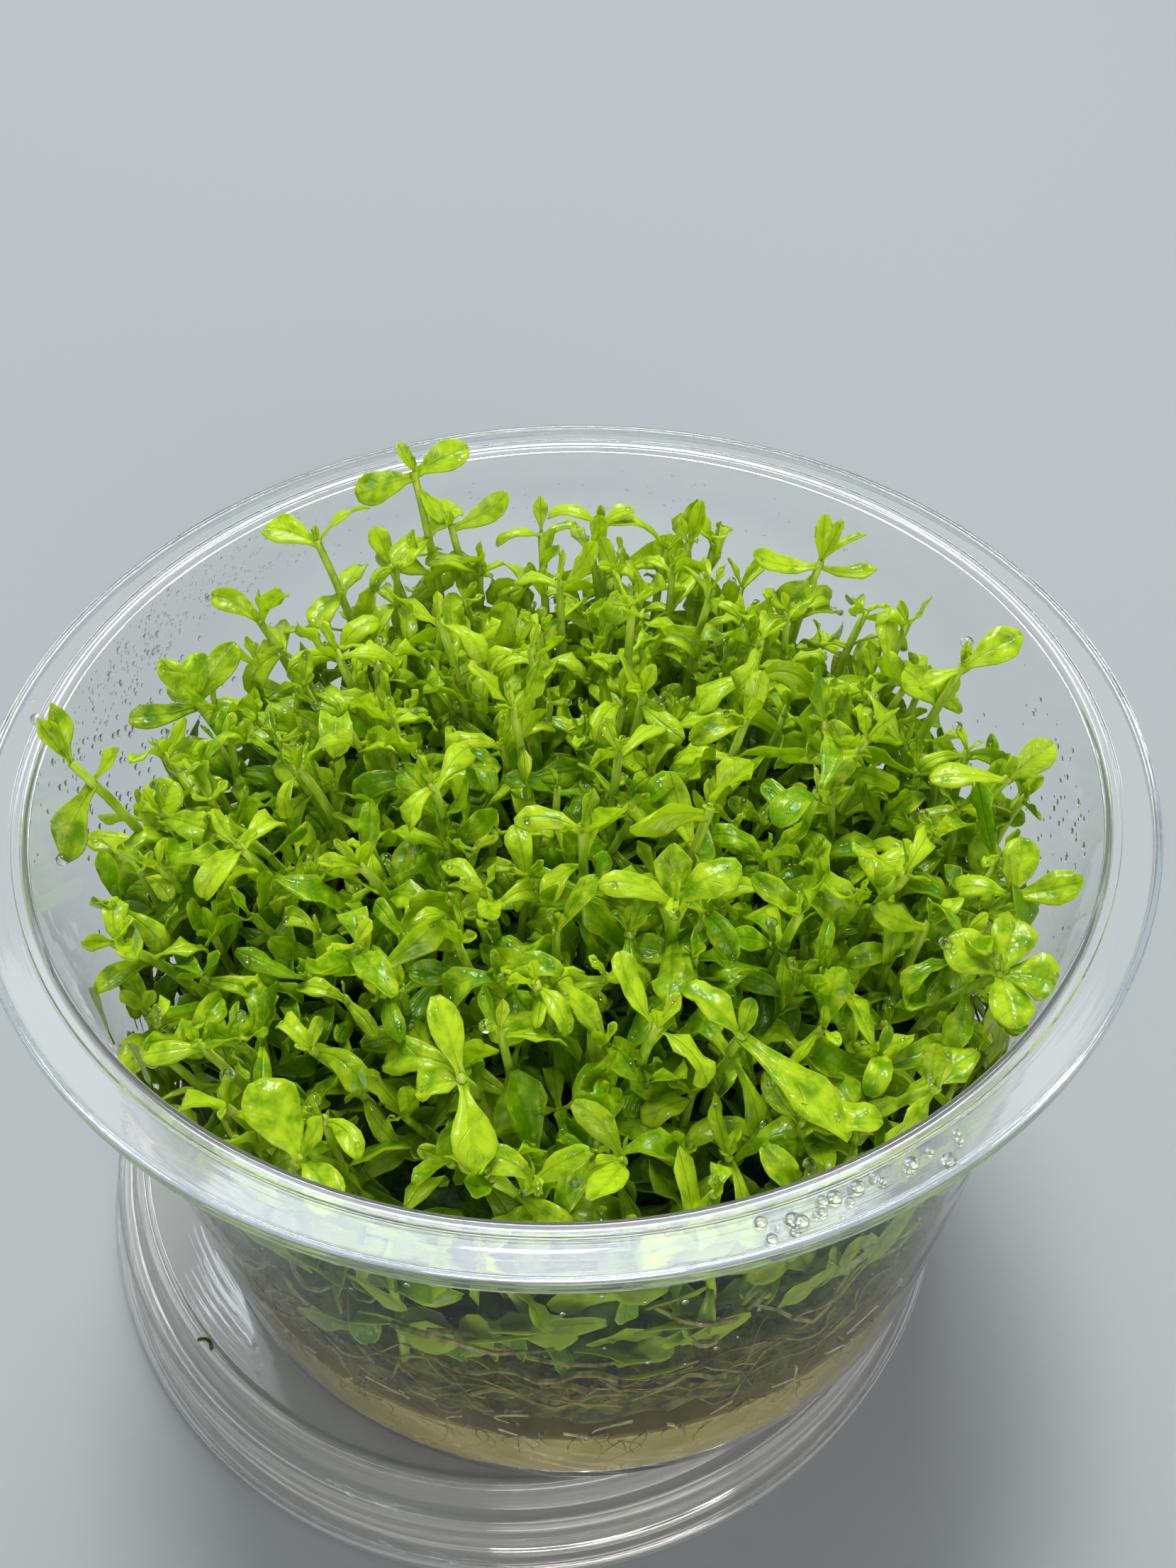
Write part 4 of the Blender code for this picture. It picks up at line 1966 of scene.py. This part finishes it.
    def build_bed(self) -> None:
        """Grows the bed's own shoots, a quarter of the bed to a piece."""
        quarters = ("right", "back", "left", "front")
        meshes = {quarter: started() for quarter in quarters}
        taken = [stance.top().xy for stance in (*self.single.values(), *BACKGROUND)]
        shoots = [self.risen(stance) for stance in BACKGROUND]
        for number in range(self.bed_count):
            shoot = self.bed_shoot(number, taken)
            shoots += [shoot] if shoot else []
        for shoot in shoots:
            angle = math.atan2(shoot.top.y, shoot.top.x)
            quarter = quarters[int((angle / math.tau + 0.125) % 1.0 * 4)]
            self.perches += shoot.grow(meshes[quarter])
        for quarter, bm in meshes.items():
            piece = finished(
                bm, f"bed_shoots_{quarter}", self.materials, self.cup.origin, SOFT_EDGE
            )
            handed_in(piece, Slot.BED, "leaf_bed")

    def leaf_at_wall(self, number: int) -> Leaf:
        """A leaf that lies against the wall; only at the front do they reach the canopy.

        Args:
            number: Its number round the wall.

        Returns:
            The leaf.
        """
        draw = self.chance
        angle = number * GOLDEN_ANGLE
        in_front = math.sin(angle) < -0.45
        high = self.wall_leaf_high_front if in_front else self.wall_leaf_high
        height = self.wall_leaf_low + (high - self.wall_leaf_low) * draw.random() ** 0.8
        return Leaf(
            base=self.cup.at(angle, height, draw.uniform(0.6, 3.2) * MM),
            heading=angle + math.pi / 2 * draw.choice((-1, 1)),
            rise=draw.uniform(-0.5, 1.4),
            length=draw.uniform(5.0, 7.5) * MM,
            width=draw.uniform(2.6, 4.2) * MM,
            arch=math.radians(draw.uniform(-20, 50)),
            roll=math.pi / 2 + math.radians(draw.uniform(-35, 35)),
            twist=math.radians(draw.uniform(-30, 30)),
            trough=draw.uniform(-0.25, 0.25),
            ruffle=draw.uniform(0.0, 0.2),
            phase=draw.random(),
            tip=draw.choice((Tip.ROUND, Tip.BLUNT)),
            tint=draw.uniform(0.3, 0.9),
            rows=6,
        )

    def build_wall_leaves(self) -> None:
        """Lays leaves against the wall, below the open canopy."""
        target = started()
        for number in range(self.wall_leaf_count):
            bm = bmesh.new()
            self.leaf_at_wall(number).grow(bm, Marks(bm))
            for vert in bm.verts:
                vert.co = self.cup.pressed(vert.co)
            poured(target, bm)
        piece = finished(target, "wall_leaves", self.wall_materials, self.cup.origin, SOFT_EDGE)
        handed_in(piece, Slot.BED, "leaf_bed")

    def build_core(self, finish: FibreFinish) -> None:
        """Models the shaded heart of the tuft, where stems and old leaves hide each other, as a
        dark lump in painted shade.

        Args:
            finish: Its finish.
        """
        heart = Cushion(
            low=21.7 * MM,
            high=39.0 * MM,
            radius=40.5 * MM,
            squareness=4,
            lump_size=5.0 * MM,
            lump_depth=2.6 * MM,
            shift=-1.5 * MM,
        )
        bm = heart.mesh()
        for vert in bm.verts:
            vert.co = self.cup.pressed(vert.co, soft=2.0 * MM, room=1.5 * MM)
        piece = finished(bm, "leaf_core", [finish.material()], self.cup.origin)
        handed_in(piece, Slot.BED, "leaf_bed")


@dataclass
class Roots:
    """The mat of roots on the gel, the pale runners above it and the roots that go down in."""

    cup: CupPlace
    felt: FibreFinish
    thread: FibreFinish
    fine: FibreFinish
    seed: int = 5
    thread_count: int = 210
    runner_count: int = 56
    gel_root_count: int = 96
    pale_root_count: int = 70
    mat_low: float = 12.75 * MM
    mat_high: float = 21.5 * MM
    mat_inset: float = 1.3 * MM
    thread_steps: int = 9
    fine_steps: int = 7

    def __post_init__(self) -> None:
        """Starts the draws."""
        self.chance = random.Random(self.seed)

    def build_felt(self) -> None:
        """Models the matted body of the roots."""
        mat = Cushion(
            low=self.mat_low,
            high=self.mat_high,
            radius=self.cup.inner_radius(self.mat_low) - self.mat_inset,
            squareness=6,
            lump_size=3.5 * MM,
            lump_depth=1.1 * MM,
            squash=2.5,
        )
        piece = finished(mat.mesh(), "root_felt", [self.felt.material()], self.cup.origin)
        handed_in(piece, Slot.ROOTS, "root_mat")

    def along_wall(
        self, angle: float, height: float, sweep: float, climb: float, inset: float, wander: float
    ) -> list[Vector]:
        """A path that wanders along the inside of the wall.

        Args:
            angle: Where it starts round the wall.
            height: Its height at the start.
            sweep: How far round it goes.
            climb: How far up it goes.
            inset: How far inside the wall it runs.
            wander: How far it strays.

        Returns:
            Its points.
        """
        start = self.chance.uniform(0.0, 90.0)
        points = []
        for step in range(self.thread_steps + 1):
            share = step / self.thread_steps
            beat = start + share * 2.6
            stray = noise.noise(Vector((beat, angle * 7.0, 0.0))) * wander
            drift = noise.noise(Vector((0.0, beat, angle * 7.0))) * wander
            points.append(
                self.cup.at(
                    angle + sweep * share,
                    height + climb * share + stray,
                    max(0.45 * MM, inset + drift * 0.5),
                )
            )
        return points

    def build_threads(self, runner: StemFinish) -> None:
        """Lays the roots and runners along the wall.

        Args:
            runner: The runners' finish.
        """
        bm = started()
        draw = self.chance
        for number in range(self.thread_count + self.runner_count):
            is_runner = number >= self.thread_count
            low, high = (20.0, 35.0) if is_runner else (13.2, 24.0)
            radius = draw.uniform(0.26, 0.44) * MM if is_runner else draw.uniform(0.08, 0.21) * MM
            path = self.along_wall(
                angle=number * GOLDEN_ANGLE,
                height=draw.uniform(low, high) * MM,
                sweep=draw.uniform(0.08, 0.42) * draw.choice((-1, 1)),
                climb=draw.uniform(-5.5, 6.0) * MM,
                inset=draw.uniform(0.55, 2.6) * MM,
                wander=4.6 * MM,
            )
            floor = self.mat_low + radius
            path = [Vector((point.x, point.y, max(point.z, floor))) for point in path]
            radii = tapered(radius, 0.5, self.thread_steps)
            tube(bm, path, radii, ROOT_SIDES, int(is_runner), draw.random())
        materials = [self.thread.material(), runner.material()]
        piece = finished(bm, "root_threads", materials, self.cup.origin)
        handed_in(piece, Slot.ROOTS, "root_mat")

    def down_wall(self, angle: float, top: float, drop: float, radius: float) -> list[Vector]:
        """A fine root that runs down against the wall.

        Args:
            angle: Where it starts round the wall.
            top: Its height at the start in millimetres.
            drop: How far down it goes in millimetres.
            radius: Its radius.

        Returns:
            Its points.
        """
        lean = self.chance.uniform(-0.09, 0.09)
        bow = self.chance.uniform(-0.05, 0.05)
        points = []
        for step in range(self.fine_steps + 1):
            share = step / self.fine_steps
            turn = angle + lean * share + bow * 4.0 * share * (1.0 - share)
            points.append(self.cup.at(turn, (top - drop * share) * MM, radius + 0.05 * MM))
        return points

    def build_gel_roots(self) -> None:
        """Grows fans of fine roots down the gel's side and pale ones over the mat."""
        bm = started()
        draw = self.chance
        for number in range(self.gel_root_count + self.pale_root_count):
            is_pale = number >= self.gel_root_count
            angle = number * GOLDEN_ANGLE
            top = draw.uniform(14.0, 20.0) if is_pale else draw.uniform(11.8, 15.0)
            for _ in range(1 if is_pale else draw.randint(2, 4)):
                radius = draw.uniform(0.1, 0.18) * MM
                drop = draw.uniform(1.5, 4.0) if is_pale else draw.uniform(2.5, 8.5)
                path = self.down_wall(angle + draw.uniform(-0.01, 0.01), top, drop, radius)
                radii = tapered(radius, 0.56, self.fine_steps)
                tube(bm, path, radii, ROOT_SIDES, int(is_pale))
        materials = [self.thread.material(), self.fine.material()]
        piece = finished(bm, "gel_roots", materials, self.cup.origin)
        handed_in(piece, Slot.ROOTS, "root_mat")

    def build_crumb(self) -> None:
        """Drops the crumb of root that lies on the lid's raised edge, front left."""
        bm = started()
        steps = 6
        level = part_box("lid")[1].z + 0.12 * MM
        start = Vector((-37.9 * MM, -31.8 * MM, level))
        end = Vector((-36.2 * MM, -32.9 * MM, level))
        path = bent_path(start, end, Vector((0.3, 0.5, 0.0)) * MM, steps)
        tube(bm, path, tapered(0.19 * MM, 0.0, steps), 6)
        piece = finished(bm, "root_crumb", [self.felt.material()], Vector())
        handed_in(piece, Slot.ROOTS)


@dataclass(frozen=True)
class Patch:
    """A patch of the inner wall that holds condensation, in degrees and millimetres."""

    middle: float
    spread: float
    low: float
    high: float
    count: int
    smallest: float
    largest: float


@dataclass
class Wet:
    """Dew on the leaves, condensation on the wall and spilt drops on the rim."""

    cup: CupPlace
    finish: WaterFinish
    seed: int = 3
    dew_count: int = 950
    tip_drop_count: int = 110
    lowest_dew: float = 46.0 * MM
    least_slope: float = 0.25
    spill_count: int = 26
    spill_depth: float = 0.2 * MM
    lone_spill: tuple[float, float] = (174.0, 50.4)
    patches: tuple[Patch, ...] = (
        Patch(154.0, 30.0, 54.5, 61.0, 400, 0.1, 0.2),
        Patch(165.0, 26.0, 43.0, 60.0, 110, 0.2, 0.42),
        Patch(-2.0, 20.0, 44.0, 58.0, 80, 0.12, 0.36),
        Patch(85.0, 40.0, 52.0, 59.0, 80, 0.08, 0.2),
        Patch(-90.0, 60.0, 30.0, 50.0, 30, 0.1, 0.3),
    )

    def __post_init__(self) -> None:
        """Makes the material and starts the draws."""
        self.material = self.finish.material()
        self.chance = random.Random(self.seed)

    def bead(
        self, target: bmesh.types.BMesh, point: Vector, normal: Vector, radius: float, flat: float
    ) -> None:
        """Adds a drop that sits on a surface.

        Args:
            target: The mesh.
            point: The spot on the surface.
            normal: The way that the surface faces.
            radius: The drop's radius.
            flat: Its height as a share of its radius.
        """
        bm = bmesh.new()
        turn = UP.rotation_difference(normal).to_matrix().to_4x4()
        size = Matrix.Diagonal((radius, radius, radius * flat, 1.0))
        bmesh.ops.create_icosphere(
            bm, subdivisions=2, radius=1.0, matrix=Matrix.Translation(point) @ turn @ size
        )
        poured(target, bm)

    def build_dew(self, perches: list[Perch]) -> None:
        """Sets dew on the leaves and hangs drops at some tips.

        Args:
            perches: Spots on the leaves.
        """
        bm = bmesh.new()
        draw = self.chance
        high = [perch for perch in perches if perch.point.z > self.lowest_dew]
        facing = [perch for perch in high if perch.normal.z > self.least_slope]
        for perch in draw.sample(facing, min(self.dew_count, len(facing))):
            radius = draw.uniform(0.13, 0.36) * MM
            point = perch.point + perch.normal * radius * 0.55
            self.bead(bm, point, perch.normal, radius, 0.8)
        for perch in draw.sample(high, min(self.tip_drop_count, len(high))):
            self.bead(bm, perch.tip, UP, draw.uniform(0.4, 0.65) * MM, 0.85)
        piece = finished(bm, "dew", [self.material], self.cup.origin)
        handed_in(piece, Slot.SHOOTS)

    def build_condensation(self) -> None:
        """Sets drops on the inner wall."""
        bm = bmesh.new()
        draw = self.chance
        for patch in self.patches:
            for _ in range(patch.count):
                angle = math.radians(draw.gauss(patch.middle, patch.spread / 2))
                height = draw.uniform(patch.low, patch.high) * MM
                radius = draw.uniform(patch.smallest, patch.largest) * MM
                inward = Vector((-math.cos(angle), -math.sin(angle), 0.0))
                self.bead(bm, self.cup.at(angle, height, 0.02 * MM), inward, radius, 0.55)
        piece = finished(bm, "condensation", [self.material], self.cup.origin)
        handed_in(piece, Slot.CUP)

    def build_spill(self) -> None:
        """Sets the spilt drops on the rim, right of the front, and the one at the left."""
        bm = bmesh.new()
        draw = self.chance
        top = self.cup.height - self.spill_depth
        spots = [self.lone_spill]
        for _ in range(self.spill_count):
            spots.append((draw.uniform(-76.0, -56.0), draw.uniform(49.3, 51.0)))
        for degrees, reach in spots:
            angle = math.radians(degrees)
            point = Vector((math.cos(angle) * reach * MM, math.sin(angle) * reach * MM, top))
            self.bead(bm, point, UP, draw.uniform(0.15, 0.65) * MM, 0.2)
        piece = finished(bm, "spilt_drops", [self.material], self.cup.origin)
        handed_in(piece, Slot.CUP)


@dataclass(frozen=True)
class Lamp:
    """A soft lamp: its place, its breadth and height in metres, its watts and its colour."""

    name: str
    spot: Triple
    size: tuple[float, float]
    power: float
    colour: Colour

    def hang(self, aim: Vector) -> None:
        """Hangs the lamp so that it faces a point.

        Args:
            aim: The point.
        """
        light = bpy.data.lights.new(self.name, "AREA")
        light.shape = "ELLIPSE"
        light.size, light.size_y = self.size
        light.energy = self.power
        light.color = self.colour
        hung = bpy.data.objects.new(self.name, light)
        bpy.context.scene.collection.objects.link(hung)
        spot = Vector(self.spot)
        turn = (aim - spot).to_track_quat("-Z", "Y").to_matrix().to_4x4()
        hung.matrix_world = Matrix.Translation(spot) @ turn


@dataclass
class Studio:
    """Pale table, soft light and the camera where the photo was taken."""

    floor: FloorFinish
    floor_reach: float = 2.0
    photo_height: int = 2212
    focal_pixels: float = 1869.26
    sensor: float = 36.0
    nearest: float = 5.0 * MM
    spot: Vector = field(default_factory=lambda: Vector((5.8, -89.525, 158.0)) * MM)
    tilt: float = math.radians(44.13)
    roll: float = math.radians(-1.05)
    aim: Vector = field(default_factory=lambda: Vector((0.0, 0.0, 40.0 * MM)))
    sky: Colour = (0.88, 0.93, 1.0)
    sky_strength: float = 0.36
    lamps: tuple[Lamp, ...] = (
        Lamp("back lamp", (0.0, 1.9, 2.6), (1.4, 0.9), 52.0, (1.0, 1.0, 0.98)),
        Lamp("wide lamp", (-0.12, 0.85, 1.61), (1.7, 0.95), 6.0, (0.96, 0.99, 1.0)),
        Lamp("strip lamp", (-0.06, 0.74, 1.6), (0.9, 0.42), 5.6, (0.8, 0.92, 1.0)),
        Lamp("bright lamp", (-0.05, 0.42, 1.66), (0.4, 0.28), 12.5, (1.0, 1.0, 0.98)),
        Lamp("front lamp", (0.3, -1.1, 0.3), (1.0, 1.0), 12.4, (1.0, 0.96, 0.9)),
    )

    def build_camera(self) -> None:
        """Sets up the camera."""
        data = bpy.data.cameras.new("camera")
        data.sensor_width = self.sensor
        data.lens = self.sensor * self.focal_pixels / self.photo_height
        data.clip_start = self.nearest
        camera = bpy.data.objects.new("camera", data)
        bpy.context.scene.collection.objects.link(camera)
        camera.matrix_world = (
            Matrix.Translation(self.spot)
            @ Matrix.Rotation(self.tilt, 4, "X")
            @ Matrix.Rotation(self.roll, 4, "Z")
        )
        bpy.context.scene.camera = camera

    def build_floor(self) -> None:
        """Lays the table under the lid."""
        bm = bmesh.new()
        bmesh.ops.create_grid(bm, x_segments=1, y_segments=1, size=self.floor_reach)
        piece = finished(bm, "table", [self.floor.material()], Vector())

    def build_light(self) -> None:
        """Hangs the lamps and sets the light of the room."""
        for lamp in self.lamps:
            lamp.hang(self.aim)
        world = bpy.data.worlds.new("room")
        world.use_nodes = True
        sky = world.node_tree.nodes["Background"]
        sky.inputs["Color"].default_value = (*self.sky, 1.0)
        sky.inputs["Strength"].default_value = self.sky_strength
        bpy.context.scene.world = world
        bpy.context.scene.view_settings.view_transform = "Standard"


def main() -> None:
    """Builds the scene."""
    logging.basicConfig(level=logging.INFO, format="%(message)s")
    place = CupPlace.from_frame()
    lid_middle = sum(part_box("lid"), Vector()) / 2
    clear = (0.975, 0.985, 0.98)
    wall = ClearPlastic("clear cup wall", clear, place.origin, index=1.1, haze=0.004, far_veil=0.14)
    flange = ClearPlastic(
        "clear cup flange",
        clear,
        place.origin,
        polish=0.05,
        haze=0.06,
        flow_depth=0.008 * MM,
        streak_depth=0.022 * MM,
        streak_run=24.0 * MM,
        streak_breadth=0.5 * MM,
    )
    edge = EdgeFinish("trimmed cup edge", paint(226, 234, 240), place.origin)
    clear_lid = ClearPlastic(
        "clear lid plastic",
        (0.98, 0.98, 0.955),
        lid_middle,
        scuff=0.14,
        haze=0.12,
        streak_depth=0.03 * MM,
    )
    leaf = LeafFinish(
        "wet leaf",
        young=paint(204, 230, 42),
        old=paint(110, 166, 6),
        painted_shade=paint(84, 130, 6),
        glow=paint(218, 236, 12),
    )
    # A darker copy of the leaf finish: painted shade for the leaves down at the wall, under the
    # canopy.
    leaf_at_wall = replace(
        leaf,
        name="shaded leaf at the wall",
        young=paint(170, 190, 38),
        old=paint(104, 130, 10),
        shade_full_below=0.0,
    )
    stem = StemFinish("juicy stem", paint(220, 234, 92), paint(160, 198, 34))
    runner = StemFinish("pale runner", paint(172, 166, 88), paint(106, 112, 38))
    felt = FibreFinish("root felt", paint(102, 108, 34), paint(46, 54, 8))
    thread = FibreFinish("root thread", paint(144, 136, 68), paint(82, 80, 24))
    fine = FibreFinish("fine root", paint(206, 198, 156), paint(160, 150, 104))
    # Painted shade: a dark-green finish for the core, which stands for the shade deep in the tuft.
    shade = FibreFinish("shaded leaves", paint(56, 86, 18), paint(24, 42, 8))
    gel = GelFinish("culture gel", paint(222, 208, 112), paint(188, 174, 74))

    Cup(place, wall, flange, edge).build()
    Lid(clear_lid).build()
    Gel(place, gel).build()
    roots = Roots(place, felt, thread, fine)
    roots.build_felt()
    roots.build_threads(runner)
    roots.build_gel_roots()
    roots.build_crumb()
    foliage = Foliage(place, leaf, stem, leaf_at_wall)
    foliage.build_single_shoots()
    foliage.build_bed()
    foliage.build_wall_leaves()
    foliage.build_core(shade)
    wet = Wet(place, WaterFinish("water"))
    wet.build_dew(foliage.perches)
    wet.build_condensation()
    wet.build_spill()
    studio = Studio(FloorFinish("pale table", paint(150, 155, 157)))
    studio.build_camera()
    studio.build_floor()
    studio.build_light()


if __name__ == "__main__":
    main()
